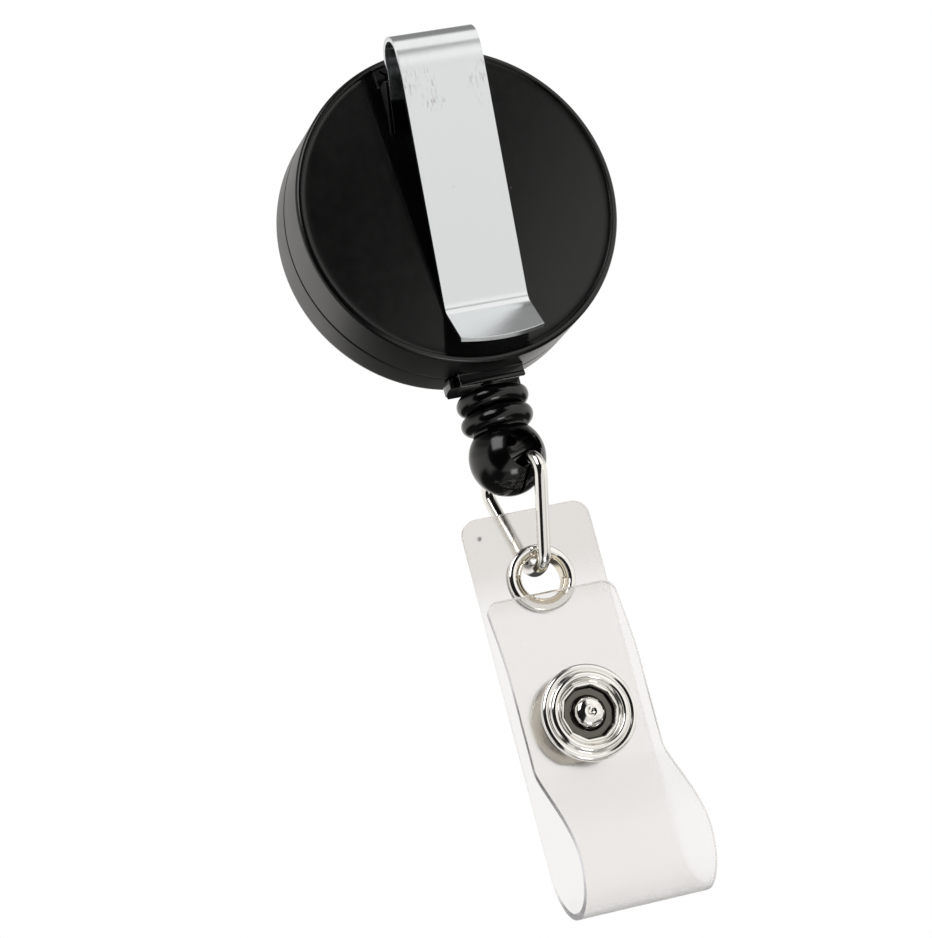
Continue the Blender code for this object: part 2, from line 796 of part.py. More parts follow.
def build_clip(surface):
    """The strip's inner leg with half the bend, and the arm with the other half and the lip."""
    bend = (-RIM_Y, BEND_HEIGHT)
    foot = POCKET_END + CLIP_FOOT
    knee = bezier(
        (pocket_line(CLIP_LEAVE), CLIP_LEAVE),
        (pocket_line(CLIP_LEAVE + 0.0010), CLIP_LEAVE + 0.0010),
        (bend[0] + BEND_RADIUS, BEND_HEIGHT - 0.0012),
        (bend[0] + BEND_RADIUS, BEND_HEIGHT),
        6,
    )
    leg_route = [
        (pocket_line(foot), foot),
        *knee,
        *arc(bend, BEND_RADIUS, 0, 90 - CLIP_PART_DEG, 8)[1:],
    ]
    leg = strip_along_x(leg_route, STRIP_WIDTH / 2, STRIP)
    finish(leg, "clip_spring_leg", surface, CASE)

    shoulder, touch = CLIP_SHOULDER, CLIP_TOUCH
    arm_route = [
        *arc(bend, BEND_RADIUS, 90 + CLIP_PART_DEG, 180, 8),
        *bezier(
            (bend[0] - BEND_RADIUS, BEND_HEIGHT),
            (bend[0] - BEND_RADIUS, BEND_HEIGHT - 0.0007),
            (shoulder[0] - 0.00024, shoulder[1] + 0.0009),
            shoulder,
            5,
        )[1:],
        *bezier(
            touch,
            (touch[0] + 0.00025, touch[1] - 0.0010),
            (touch[0] + 0.00010, touch[1] - 0.0013),
            (touch[0] - 0.0006, touch[1] - 0.0021),
            6,
        ),
        LIP_END,
    ]
    arm = strip_along_x(arm_route, STRIP_WIDTH / 2, STRIP)
    reach_deg = math.degrees(math.asin((STRIP_WIDTH / 2) / LIP_RADIUS)) + 3
    centre = (0.0, LIP_BOTTOM + LIP_RADIUS)
    rounded = arc(centre, LIP_RADIUS, -90 - reach_deg, -90 + reach_deg, 12)
    above = BEND_HEIGHT + 2 * BEND_RADIUS
    side = STRIP_WIDTH / 2 + 4 * OVERCUT
    keep = plate([*rounded, (side, above), (-side, above)], CASE_DEPTH)
    boolean(arm, solid_mesh(keep), "INTERSECT")
    finish(arm, "clip_arm", surface, CASE)
    return to_joint(arm, CLIP_AXIS)


# --- stopper and link ---------------------------------------------------------------------
def build_stopper(surface):
    """Two round ribs over a ball with a cross hole for the link; the cord's knot sits inside."""
    ribs = []
    for height in RIB_HEIGHTS:
        level = height - BALL_HEIGHT
        centre = (RIB_RADIUS - RIB_THICKNESS, level)
        ribs += arc(centre, RIB_THICKNESS, 80, -80, 6)
        ribs.append((NECK_RADIUS, level - RIB_THICKNESS))
    ribs.pop()
    top = STOPPER_TOP - BALL_HEIGHT
    meet = math.degrees(math.acos(NECK_RADIUS / BALL_RADIUS))
    ball = arc((0.0, 0.0), BALL_RADIUS, meet, -90, 12)
    roof = KNOT_HEIGHT + KNOT_RADIUS + KNOT_CLEARANCE - BALL_HEIGHT
    profile = [
        (CORD_BORE, top),
        (STEM_RADIUS, top),
        (STEM_RADIUS, ribs[0][1]),
        *ribs,
        *ball[:-1],
        (0.0, -BALL_RADIUS),
        (0.0, -CROSS_HOLE / 2),
        (KNOT_POCKET, -CROSS_HOLE / 2),
        (KNOT_POCKET, roof),
        (CORD_BORE, roof),
    ]
    stopper = turned(profile, steps=INNER_STEPS, along_y=False)
    hole = turned(
        [
            (0.0, CROSS_REACH),
            (CROSS_HOLE + CROSS_FLARE, CROSS_REACH),
            (CROSS_HOLE, CROSS_STRAIGHT),
            (CROSS_HOLE, -CROSS_STRAIGHT),
            (CROSS_HOLE + CROSS_FLARE, -CROSS_REACH),
            (0.0, -CROSS_REACH),
        ],
        steps=SMALL_STEPS,
        closed=False,
    )
    return finish(boolean(stopper, hole, "DIFFERENCE"), "stopper", surface, SWIVEL)


def link_route():
    """Half of the link's loop (across, height) from the middle of its top to its tip."""
    drop = LINK_BOTTOM - LINK_TOP
    tip = (0.0, drop + LINK_TIP_RADIUS)
    corner = (LINK_HALF_WIDTH - LINK_TOP_CORNER, -LINK_TOP_CORNER)
    lean = math.degrees(
        math.atan2(
            LINK_HALF_WIDTH - LINK_TIP_RADIUS, -drop - LINK_TOP_CORNER - LINK_TIP_RADIUS
        )
    )
    return [
        (0.0, 0.0),
        *arc(corner, LINK_TOP_CORNER, 90, -lean, 8),
        *arc(tip, LINK_TIP_RADIUS, -lean, -90, 8),
    ]


def build_wire_link(surface):
    """A closed loop of round wire through the ball and the strap's eyelet."""
    half = link_route()
    other = [(-across, height) for across, height in half[-2:0:-1]]
    route = [(0.0, across, height) for across, height in half + other]
    loop = wire(route, WIRE_RADIUS, closed=True)
    loop.data.use_fill_caps = False
    return finish(loop, "wire_link", surface, LINK_AXIS)


# --- strap --------------------------------------------------------------------------------
def fold_arc(start_deg, end_deg, count):
    """Points (depth, height) on the fold; 0 is the back layer, 180 the flap."""
    centre = (FOLD_DEPTH, FOLD_HEIGHT)
    return arc(centre, FOLD_RADIUS, -start_deg, -end_deg, count)


def strap_outline(top, corner):
    """A tall block that rounds off a layer's upper corners."""
    bottom = FOLD_HEIGHT - 2 * FOLD_RADIUS
    outline = rounded_top_outline(STRAP_HALF_WIDTH, top, bottom, corner)
    return solid_mesh(plate(outline, CASE_DEPTH))


def build_strap_back(surface):
    """The back layer, from its rounded top to the start of the fold."""
    open_deg = math.degrees(FOLD_GAP / 2 / FOLD_RADIUS)
    split = math.degrees(FOLD_SPLIT) - open_deg
    route = [(STRAP_DEPTH, STRAP_TOP + 2 * OVERCUT), *fold_arc(0, split, 4)]
    layer = strip_along_x(route, STRAP_HALF_WIDTH + 2 * OVERCUT, VINYL)
    boolean(layer, strap_outline(STRAP_TOP, STRAP_CORNER), "INTERSECT")
    eye = cylinder(EYELET_BARREL + ASSEMBLY_GAP, 2 * VINYL, STRAP_DEPTH, EYELET_HEIGHT)
    boolean(layer, eye, "DIFFERENCE")
    hole = cylinder(POST_HOLE, 2 * VINYL, STRAP_DEPTH, SNAP_HEIGHT)
    boolean(layer, hole, "DIFFERENCE")
    finish(layer, "strap_back", surface, CASE)
    return to_joint(layer, STRAP_AXIS)


def flap_route():
    """Middle line (depth, height) of the flap, from the fold up to its free edge."""
    open_deg = math.degrees(FOLD_GAP / 2 / FOLD_RADIUS)
    split = math.degrees(FOLD_SPLIT) + open_deg
    front = FOLD_DEPTH - FOLD_RADIUS
    swell = bezier(
        (front, FOLD_HEIGHT),
        (front, FOLD_HEIGHT + 0.0032),
        (FLAP_DEPTH - 0.00025, FLAP_FLAT[0] - 0.0015),
        (FLAP_DEPTH, FLAP_FLAT[0]),
        10,
    )
    return [
        *fold_arc(split, 180, 14),
        *swell[1:],
        *bezier(
            (FLAP_DEPTH, FLAP_FLAT[1]),
            (FLAP_DEPTH, FLAP_FLAT[1] + 0.0020),
            (FLAP_TOP_DEPTH - 0.0004, FLAP_TOP - 0.0022),
            (FLAP_TOP_DEPTH + 0.0002, FLAP_TOP + OVERCUT),
            5,
        ),
    ]


def build_strap_flap(surface):
    """The front layer with the fold's bulge, up to its free edge over the eyelet."""
    layer = strip_along_x(flap_route(), STRAP_HALF_WIDTH + 2 * OVERCUT, VINYL)
    boolean(layer, strap_outline(FLAP_TOP, FLAP_CORNER), "INTERSECT")
    hole = cylinder(POST_HOLE, 2 * VINYL, FLAP_DEPTH, SNAP_HEIGHT)
    boolean(layer, hole, "DIFFERENCE")
    finish(layer, "strap_flap", surface, CASE)
    return to_joint(layer, FOLD_AXIS)


def build_eyelet(surface):
    """A rolled eyelet: front flange, barrel through the vinyl and a flange behind."""
    back = VINYL / 2 + VINYL_GAP
    front = -back
    roll = EYELET_ROLL
    eyelet = turned(
        [
            (EYELET_HOLE + 0.0001, back + roll),
            (EYELET_RADIUS - 0.0003, back + roll),
            (EYELET_RADIUS - 0.0001, back + 0.0001),
            (EYELET_RADIUS - 0.0002, back),
            (EYELET_BARREL, back),
            (EYELET_BARREL, front),
            (EYELET_RADIUS - 0.0001, front),
            (EYELET_RADIUS, front - 0.0002),
            (EYELET_RADIUS - 0.0004, front - roll - 0.0001),
            (EYELET_HOLE + 0.0005, front - roll - 0.0001),
            (EYELET_HOLE, front - 0.0002),
            (EYELET_HOLE, back + 0.0002),
        ],
        steps=SMALL_STEPS,
    )
    eyelet.location = (0.0, STRAP_DEPTH, EYELET_HEIGHT)
    finish(eyelet, "eyelet", surface, CASE)
    return to_joint(eyelet, STRAP_AXIS)


def snap_piece(name, profile, depth, frame, surface):
    """One turned piece of the snap; levels are depths from its own vinyl layer's middle."""
    closed = profile[0][0] > 0
    piece = turned(profile, steps=SMALL_STEPS, closed=closed)
    piece.location = (0.0, depth, SNAP_HEIGHT)
    finish(piece, name, surface, CASE)
    return to_joint(piece, frame)


def build_snap(surface):
    """The closed snap: cap and socket clench the flap, post and stud clench the back layer."""
    skin = VINYL / 2 + VINYL_GAP
    snap_piece(
        "snap_cap",
        [
            (0.0, 0.0005),
            (0.0011, 0.0005),
            (0.0011, -skin),
            (0.0044, -skin),
            (0.0047, -0.0006),
            (0.0046, -0.0010),
            (0.0042, -0.0013),
            (0.0037, -0.0014),
            (0.0031, -0.0012),
            (0.0026, -0.0007),
            (0.0018, -0.0006),
            (0.0016, -0.0011),
            (0.0013, -0.0014),
            (0.0007, -0.0015),
            (0.0005, -0.0012),
            (0.0, -0.0012),
        ],
        FLAP_DEPTH,
        FOLD_AXIS,
        surface,
    )
    snap_piece(
        "snap_socket",
        [
            (0.00175, 0.0017),
            (0.0024, 0.0018),
            (0.0030, 0.0016),
            (0.0042, 0.0009),
            (0.0043, skin),
            (0.0012, skin),
            (0.0012, 0.0006),
            (0.00175, 0.0006),
        ],
        FLAP_DEPTH,
        FOLD_AXIS,
        surface,
    )
    snap_piece(
        "snap_stud",
        [
            (0.00118, -skin),
            (0.0034, -skin),
            (0.0034, -0.0006),
            (0.0017, -0.0008),
            (0.0014, -0.0012),
            (0.0015, -0.0018),
            (0.0013, -0.0021),
            (0.00118, -0.0021),
        ],
        STRAP_DEPTH,
        STRAP_AXIS,
        surface,
    )
    snap_piece(
        "snap_post",
        [
            (0.0, 0.0006),
            (0.0026, 0.0007),
            (0.0033, 0.0011),
            (0.0042, 0.0012),
            (0.0047, 0.0008),
            (0.0046, skin),
            (0.0011, skin),
            (0.0011, -0.0020),
            (0.0, -0.0020),
        ],
        STRAP_DEPTH,
        STRAP_AXIS,
        surface,
    )


# --- assembly -----------------------------------------------------------------------------
def main():
    black = material("black_gloss_plastic", BLACK_PLASTIC, 0.12)
    nickel = material("nickel_plate", NICKEL, 0.18, metallic=1.0)
    steel = material("blued_spring_steel", SPRING_STEEL, 0.3, metallic=1.0)
    natural = material("natural_plastic", NATURAL_PLASTIC, 0.45)
    cord = material("black_cord", BLACK_CORD, 0.8)
    vinyl = material("clear_vinyl", CLEAR_VINYL, 0.15, transmission=0.9)

    build_back_shell(black)
    build_front_shell(black)
    build_cord_guide(black)
    build_axle_post(nickel)
    build_spool(natural)
    build_spring_cover(natural)
    build_power_spring(steel)
    build_cord(cord)
    build_clip(nickel)
    build_stopper(black)
    build_wire_link(nickel)
    build_strap_back(vinyl)
    build_strap_flap(vinyl)
    build_eyelet(nickel)
    build_snap(nickel)


main()
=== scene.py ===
"""Finished look of a retractable badge reel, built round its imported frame.

The frame gives every place: the case, the clip's bend, the ball, the strap and the snap are
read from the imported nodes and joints, in metres, +Z up, with the clip side facing -Y.
"""

import json
import logging
import math
from dataclasses import dataclass
from enum import Enum
from typing import Callable, Sequence

import bmesh
import bpy
from mathutils import Matrix, Vector


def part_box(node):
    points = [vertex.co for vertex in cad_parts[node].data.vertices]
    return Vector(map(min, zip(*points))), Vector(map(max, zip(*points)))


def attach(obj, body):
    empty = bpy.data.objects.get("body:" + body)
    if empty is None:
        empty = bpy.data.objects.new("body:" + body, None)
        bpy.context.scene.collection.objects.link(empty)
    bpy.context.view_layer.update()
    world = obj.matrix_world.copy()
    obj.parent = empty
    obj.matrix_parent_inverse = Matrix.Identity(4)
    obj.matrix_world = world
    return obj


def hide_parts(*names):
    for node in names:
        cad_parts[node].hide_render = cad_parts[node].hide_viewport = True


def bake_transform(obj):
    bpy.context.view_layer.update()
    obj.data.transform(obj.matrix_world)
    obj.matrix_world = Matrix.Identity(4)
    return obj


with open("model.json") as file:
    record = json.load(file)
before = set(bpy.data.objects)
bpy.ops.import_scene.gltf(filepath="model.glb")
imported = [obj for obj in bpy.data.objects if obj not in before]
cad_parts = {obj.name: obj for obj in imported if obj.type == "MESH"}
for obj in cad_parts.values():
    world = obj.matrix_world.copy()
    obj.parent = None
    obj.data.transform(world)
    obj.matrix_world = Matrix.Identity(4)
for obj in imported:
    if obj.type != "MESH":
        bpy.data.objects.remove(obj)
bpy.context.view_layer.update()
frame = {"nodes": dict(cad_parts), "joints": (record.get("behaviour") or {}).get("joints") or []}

MM = 0.001
LOG = logging.getLogger("badge_reel")

Pair = tuple[float, float]
Number = float | int


class Axis(Enum):
    """The axis that a piece is turned about."""

    DEPTH = "y"
    UP = "z"


class Cut(Enum):
    """What one solid does to another."""

    JOIN = "UNION"
    REMOVE = "DIFFERENCE"


class Body(Enum):
    """The moving bodies of the reel."""

    CASE = "case"
    CLIP = "clip"
    SPOOL = "spool"
    CORD_END = "cord_end"
    STOPPER = "stopper"
    LINK = "link"
    STRAP = "strap"
    FLAP = "flap"


class Slot(Enum):
    """The record's material slots."""

    CASE = "case_plastic"
    NICKEL = "nickel"
    CORD = "cord"
    VINYL = "clear_vinyl"


# --- shader expressions --------------------------------------------------------------------
@dataclass(frozen=True)
class Signal:
    """A number that varies over a surface; arithmetic on it adds Math nodes."""

    graph: "Graph"
    socket: bpy.types.NodeSocket

    def _math(self, operation: str, *values: "Signal | Number") -> "Signal":
        """One Math node.

        Args:
            operation: the node's operation.
            *values: its inputs, in order.

        Returns:
            The node's result.
        """
        inputs = dict(enumerate(values))
        return self.graph.node("Math", {"operation": operation}, inputs)

    def __add__(self, other: "Signal | Number") -> "Signal":
        """self + other."""
        return self._math("ADD", self, other)

    def __radd__(self, other: Number) -> "Signal":
        """other + self."""
        return self._math("ADD", other, self)

    def __sub__(self, other: "Signal | Number") -> "Signal":
        """self - other."""
        return self._math("SUBTRACT", self, other)

    def __rsub__(self, other: Number) -> "Signal":
        """other - self."""
        return self._math("SUBTRACT", other, self)

    def __mul__(self, other: "Signal | Number") -> "Signal":
        """self * other."""
        return self._math("MULTIPLY", self, other)

    def __rmul__(self, other: Number) -> "Signal":
        """other * self."""
        return self._math("MULTIPLY", other, self)

    def above(self, level: Number) -> "Signal":
        """1 where the value is above a level, else 0."""
        return self._math("GREATER_THAN", self, level)

    def below(self, level: Number) -> "Signal":
        """1 where the value is below a level, else 0."""
        return self._math("LESS_THAN", self, level)

    def sine(self) -> "Signal":
        """The sine of the value in radians."""
        return self._math("SINE", self)

    def larger(self, other: "Signal | Number") -> "Signal":
        """The larger of two values."""
        return self._math("MAXIMUM", self, other)

    def fade(self, start: float, end: float) -> "Signal":
        """0 before start, 1 after end and a smooth step between them.

        Args:
            start: where the step begins; it may lie above end.
            end: where it is complete.

        Returns:
            The step.
        """
        settings = {"interpolation_type": "SMOOTHSTEP"}
        inputs = {"Value": self, "From Min": start, "From Max": end}
        return self.graph.node("MapRange", settings, inputs)


class Graph:
    """The nodes of one material or of the world."""

    def __init__(self, tree: bpy.types.NodeTree) -> None:
        """Takes over a node tree.

        Args:
            tree: the tree to add nodes to.
        """
        self.tree = tree

    def node(
        self,
        kind: str,
        settings: dict | None = None,
        inputs: dict | None = None,
        output: str | int = 0,
    ) -> Signal:
        """Adds a shader node.

        Args:
            kind: the node's type without its ShaderNode prefix.
            settings: properties set before its sockets.
            inputs: socket name or index to a value or a Signal.
            output: the output socket to return.

        Returns:
            The chosen output.
        """
        made = self.tree.nodes.new("ShaderNode" + kind)
        for name, value in (settings or {}).items():
            setattr(made, name, value)
        for name, value in (inputs or {}).items():
            self.feed(made.inputs[name], value)
        return Signal(self, made.outputs[output])

    def feed(self, socket: bpy.types.NodeSocket, value: "Signal | Number | Sequence") -> None:
        """Links a Signal to a socket, or sets the socket's own value.

        Args:
            socket: the socket.
            value: what it gets.
        """
        if isinstance(value, Signal):
            self.tree.links.new(value.socket, socket)
        else:
            socket.default_value = value

    def place(self) -> Signal:
        """The point on the surface, in the frame's metres."""
        return self.node("TexCoord", output="Object")

    def axis(self, vector: Signal, name: str) -> Signal:
        """One component of a vector: X, Y or Z."""
        return self.node("SeparateXYZ", None, {0: vector}, name)

    def stretched(self, vector: Signal, scale: Sequence[float]) -> Signal:
        """The vector with its components scaled."""
        return self.node("VectorMath", {"operation": "MULTIPLY"}, {0: vector, 1: scale})

    def along(self, vector: Signal, direction: Sequence[float]) -> Signal:
        """How far the vector reaches along a direction."""
        settings = {"operation": "DOT_PRODUCT"}
        return self.node("VectorMath", settings, {0: vector, 1: direction}, "Value")

    def distance(self, vector: Signal, centre: Sequence[float]) -> Signal:
        """The distance from a centre."""
        settings = {"operation": "DISTANCE"}
        return self.node("VectorMath", settings, {0: vector, 1: centre}, "Value")

    def noise(self, vector: Signal, scale: float, detail: float = 2.0) -> Signal:
        """Soft noise from 0 to 1."""
        return self.node("TexNoise", None, {"Vector": vector, "Scale": scale, "Detail": detail})

    def cells(self, vector: Signal, scale: float, output: str = "Distance") -> Signal:
        """Voronoi cells: the distance from each cell's point, or its Color."""
        return self.node("TexVoronoi", None, {"Vector": vector, "Scale": scale}, output)

    def blend(
        self, amount: Signal, low: "Sequence[float] | Signal", high: Sequence[float]
    ) -> Signal:
        """A colour between two.

        Args:
            amount: 0 gives low and 1 gives high.
            low: the first colour.
            high: the second colour.

        Returns:
            The mixed colour.
        """
        settings = {"data_type": "RGBA"}
        inputs = {0: amount, 6: low, 7: high}
        return self.node("Mix", settings, inputs, 2)

    def bump(self, height: Signal, depth: float, strength: float = 1.0) -> Signal:
        """A bumped normal.

        Args:
            height: the relief, from 0 to 1.
            depth: how deep the relief is, in metres.
            strength: how strongly it shows.

        Returns:
            The normal.
        """
        inputs = {"Height": height, "Distance": depth, "Strength": strength}
        return self.node("Bump", None, inputs)


class Dressing(Graph):
    """A new material with one Principled shader."""

    def __init__(self, name: str) -> None:
        """Makes the material.

        Args:
            name: the material's name.
        """
        self.material = bpy.data.materials.new(name)
        self.material.use_nodes = True
        super().__init__(self.material.node_tree)
        self.shader = self.tree.nodes["Principled BSDF"]

    def surface(self, **sockets: "Signal | Number | Sequence") -> bpy.types.Material:
        """Feeds the shader's sockets and gives back the material.

        Args:
            **sockets: socket names with underscores for spaces, and their values.

        Returns:
            The finished material.
        """
        for name, value in sockets.items():
            words = " ".join(word.capitalize() for word in name.split("_"))
            self.feed(self.shader.inputs[words.replace("Ior", "IOR")], value)
        return self.material


def grey(value: float, tint: Sequence[float] = (1.0, 1.0, 1.0)) -> tuple:
    """A colour of one brightness with an optional tint."""
    return (value * tint[0], value * tint[1], value * tint[2], 1.0)


# --- finishes ------------------------------------------------------------------------------
@dataclass(frozen=True)
class BlackMoulding:
    """Black moulded plastic: a polished face, satin sides, dust specks and hair scratches."""

    name: str
    axis_z: float
    face_radius: float
    polish: float = 0.10
    satin: float = 0.27
    side_sheen: bool = True

    def make(self) -> bpy.types.Material:
        """Builds the material.

        Returns:
            The finished material.
        """
        g = Dressing(self.name)
        place = g.place()
        mottle = g.noise(place, 900.0, 3.0)
        roughness = self.polish + 0.05 * mottle
        if self.side_sheen:
            flat = g.stretched(place, (1.0, 0.0, 1.0))
            radius = g.distance(flat, (0.0, 0.0, self.axis_z))
            side = radius.fade(self.face_radius, self.face_radius + 0.4 * MM)
            roughness = roughness + (self.satin - self.polish) * side
        dust_point = g.cells(place, 520.0)
        rare = g.axis(g.cells(place, 520.0, "Color"), "X").above(0.90)
        dust = dust_point.fade(0.055, 0.02) * rare
        lint_place = g.stretched(place, (1.0, 1.0, 0.22))
        lint = g.cells(lint_place, 300.0).fade(0.03, 0.01)
        lint = lint * g.axis(g.cells(lint_place, 300.0, "Color"), "Y").above(0.93)
        specks = dust.larger(lint * 0.5)
        hairs = g.noise(g.stretched(place, (1.0, 1.0, 0.05)), 9000.0, 1.0).fade(0.74, 0.8)
        colour = g.blend(specks, grey(0.0012), grey(0.10, (1.0, 0.98, 0.94)))
        relief = mottle * 0.5 + specks + hairs * 0.3
        return g.surface(
            base_color=colour,
            roughness=roughness + specks * 0.3,
            ior=1.49,
            normal=g.bump(relief, 0.004 * MM, 0.35),
        )


@dataclass(frozen=True)
class StripNickel:
    """Nickel-plated strip: faint rolling lines along it, and a rubbed patch near the bend."""

    name: str
    rub_top: float
    rub_bottom: float

    def make(self) -> bpy.types.Material:
        """Builds the material.

        Returns:
            The finished material.
        """
        g = Dressing(self.name)
        place = g.place()
        height = g.axis(place, "Z")
        rolled = g.noise(g.stretched(place, (1.0, 1.0, 0.03)), 5200.0, 2.0)
        cloud = g.noise(place, 260.0, 3.0)
        zone = height.fade(self.rub_bottom, self.rub_bottom + 1.6 * MM)
        zone = zone * height.fade(self.rub_top + 0.5 * MM, self.rub_top - 0.5 * MM)
        strokes = g.noise(g.stretched(place, (1.0, 1.0, 0.05)), 5600.0, 2.0).fade(0.52, 0.66)
        patch = g.noise(g.stretched(place, (1.0, 1.0, 0.6)), 330.0, 1.0).fade(0.42, 0.58)
        rubs = strokes * patch * zone
        pits = g.cells(place, 900.0).fade(0.10, 0.05)
        pits = pits * g.axis(g.cells(place, 900.0, "Color"), "X").above(0.93)
        worn = rubs.larger(pits * 0.5)
        colour = g.blend(worn, grey(0.80, (0.965, 1.0, 1.02)), grey(0.56, (1.0, 0.97, 1.0)))
        relief = rolled * 0.4 + cloud * 0.5 - worn
        return g.surface(
            base_color=colour,
            metallic=1.0,
            roughness=0.15 + 0.07 * cloud + 0.05 * rolled + 0.12 * rubs,
            normal=g.bump(relief, 0.003 * MM, 0.5),
        )


@dataclass(frozen=True)
class WarmNickel:
    """Bright nickel on stamped or drawn metal, a little warm and brassy where it is thin, with
    painted shade darkening a given well.
    """

    name: str
    centre: tuple[float, float, float] | None = None
    brassy_within: float = 0.0
    roughness: float = 0.09
    thin: float = 0.25
    # radius and floor of a well that is darkened with painted shade
    well: tuple[float, float] | None = None

    def make(self) -> bpy.types.Material:
        """Builds the material.

        Returns:
            The finished material.
        """
        g = Dressing(self.name)
        place = g.place()
        cloud = g.noise(place, 700.0, 3.0)
        fine = g.noise(place, 5200.0, 2.0)
        warm = cloud.fade(0.45, 0.75) * self.thin
        if self.centre is not None:
            flat = g.stretched(place, (1.0, 0.0, 1.0))
            centre = (self.centre[0], 0.0, self.centre[2])
            inner = g.distance(flat, centre).fade(self.brassy_within + 0.1 * MM, self.brassy_within)
            warm = warm.larger(inner * (0.55 + 0.45 * cloud))
        pits = g.cells(place, 2100.0).fade(0.12, 0.05)
        pits = pits * g.axis(g.cells(place, 2100.0, "Color"), "X").above(0.9)
        bright = grey(0.84, (1.0, 0.985, 0.95))
        brass = (0.72, 0.64, 0.50, 1.0)
        colour = g.blend(warm, bright, brass)
        # painted shade: within the well's radius, the part lying deeper than the given floor is
        # darkened almost to black, as shade in the recess
        if self.well is not None:
            radius, floor = self.well
            flat = g.stretched(place, (1.0, 0.0, 1.0))
            inside = g.distance(flat, (0.0, 0.0, self.centre[2])).below(radius)
            painted_well_shade = inside * g.axis(place, "Y").fade(floor - 0.25 * MM, floor)
            colour = g.blend(painted_well_shade * 0.92, colour, (0.05, 0.045, 0.035, 1.0))
        return g.surface(
            base_color=colour,
            metallic=1.0,
            roughness=self.roughness + 0.05 * fine + 0.2 * pits,
            normal=g.bump(fine * 0.4 + cloud - pits, 0.004 * MM, 0.5),
        )


@dataclass(frozen=True)
class ClearVinyl:
    """Flexible clear vinyl with a calendered surface: soft waves, faint haze, small specks, and
    painted shade on its left cut edge.
    """

    name: str
    speck: tuple[float, float, float]
    clear_below: float
    shaded_edge_x: float

    def make(self) -> bpy.types.Material:
        """Builds the material.

        Returns:
            The finished material.
        """
        g = Dressing(self.name)
        place = g.place()
        wave = g.noise(place, 120.0, 2.0)
        grain = g.noise(place, 2600.0, 2.0)
        haze = g.noise(place, 300.0, 3.0)
        spot = g.distance(g.stretched(place, (1.0, 0.0, 1.0)), self.speck)
        ragged = g.noise(place, 6000.0, 1.0)
        mark = (spot + 0.35 * MM * ragged).fade(0.42 * MM, 0.30 * MM)
        specks = g.cells(place, 420.0).fade(0.05, 0.03)
        specks = specks * g.axis(g.cells(place, 420.0, "Color"), "X").above(0.88)
        height = g.axis(place, "Z")
        # the strip turns darker and warmer above a height just under the flap's top
        upper_darkening = height.fade(self.clear_below, self.clear_below + 6.0 * MM)
        clear = g.blend(upper_darkening, grey(0.925, (1.0, 0.985, 0.97)), grey(0.76, (1.0, 0.965, 0.93)))
        # painted shade: the strip's left cut edge is coloured bluish grey, standing in for shade
        # seen through the clear edge
        cut = g.axis(place, "X").below(-self.shaded_edge_x) * g.axis(place, "Y").below(8.0 * MM)
        clear = g.blend(cut, clear, (0.60, 0.60, 0.66, 1.0))
        colour = g.blend((mark * 0.85).larger(specks * 0.3), clear, grey(0.10))
        return g.surface(
            base_color=colour,
            roughness=0.20 + 0.10 * haze + 0.4 * mark,
            transmission_weight=1.0,
            ior=1.28,
            normal=g.bump(wave + grain * 0.05, 0.05 * MM, 0.5),
        )


@dataclass(frozen=True)
class BraidedCord:
    """Fine braided nylon: two crossing diagonals of yarn round the cord."""

    name: str
    pitch: float = 0.28 * MM

    def make(self) -> bpy.types.Material:
        """Builds the material.

        Returns:
            The finished material.
        """
        g = Dressing(self.name)
        place = g.place()
        turns = 2 * math.pi / self.pitch
        across = g.axis(place, "X") + g.axis(place, "Y")
        up = g.axis(place, "Z")
        one = ((across + up) * turns).sine()
        other = ((across - up) * turns).sine()
        weave = (one.larger(other) + 1.0) * 0.5
        fuzz = g.noise(place, 9000.0, 3.0)
        colour = g.blend(weave * fuzz, grey(0.006), grey(0.035))
        return g.surface(
            base_color=colour,
            roughness=0.62 + 0.2 * fuzz,
            sheen_weight=0.3,
            normal=g.bump(weave + fuzz * 0.3, 0.06 * MM, 0.8),
        )


@dataclass(frozen=True)
class SatinPlastic:
    """Natural moulded plastic of the spool, with turning marks and a waxy surface."""

    name: str
    colour: tuple[float, float, float]

    def make(self) -> bpy.types.Material:
        """Builds the material.

        Returns:
            The finished material.
        """
        g = Dressing(self.name)
        place = g.place()
        cloud = g.noise(place, 300.0, 3.0)
        grain = g.noise(place, 3000.0, 2.0)
        low = tuple(channel * 0.9 for channel in self.colour)
        colour = g.blend(cloud, (*low, 1.0), (*self.colour, 1.0))
        return g.surface(
            base_color=colour,
            roughness=0.38 + 0.15 * grain,
            subsurface_weight=0.1,
            subsurface_radius=(1.0 * MM, 0.8 * MM, 0.6 * MM),
            normal=g.bump(grain + cloud, 0.01 * MM, 0.4),
        )


@dataclass(frozen=True)
class BluedSteel:
    """Hardened spring strip with a blue-grey oxide and rolling lines."""

    name: str

    def make(self) -> bpy.types.Material:
        """Builds the material.

        Returns:
            The finished material.
        """
        g = Dressing(self.name)
        place = g.place()
        rolled = g.noise(g.stretched(place, (1.0, 0.05, 1.0)), 5000.0, 2.0)
        cloud = g.noise(place, 500.0, 3.0)
        colour = g.blend(cloud, (0.38, 0.40, 0.45, 1.0), (0.56, 0.55, 0.54, 1.0))
        return g.surface(
            base_color=colour,
            metallic=1.0,
            roughness=0.22 + 0.15 * rolled,
            normal=g.bump(rolled, 0.004 * MM, 0.5),
        )


# --- mesh building -------------------------------------------------------------------------
def arc(centre: Pair, radius: float, start: float, end: float, count: int) -> list[Pair]:
    """Points on an arc.

    Args:
        centre: its centre.
        radius: its radius.
        start: the first angle, in degrees.
        end: the last angle, in degrees.
        count: how many steps lie between them.

    Returns:
        count + 1 points.
    """
    points = []
    for step in range(count + 1):
        angle = math.radians(start + (end - start) * step / count)
        points.append((centre[0] + radius * math.cos(angle), centre[1] + radius * math.sin(angle)))
    return points


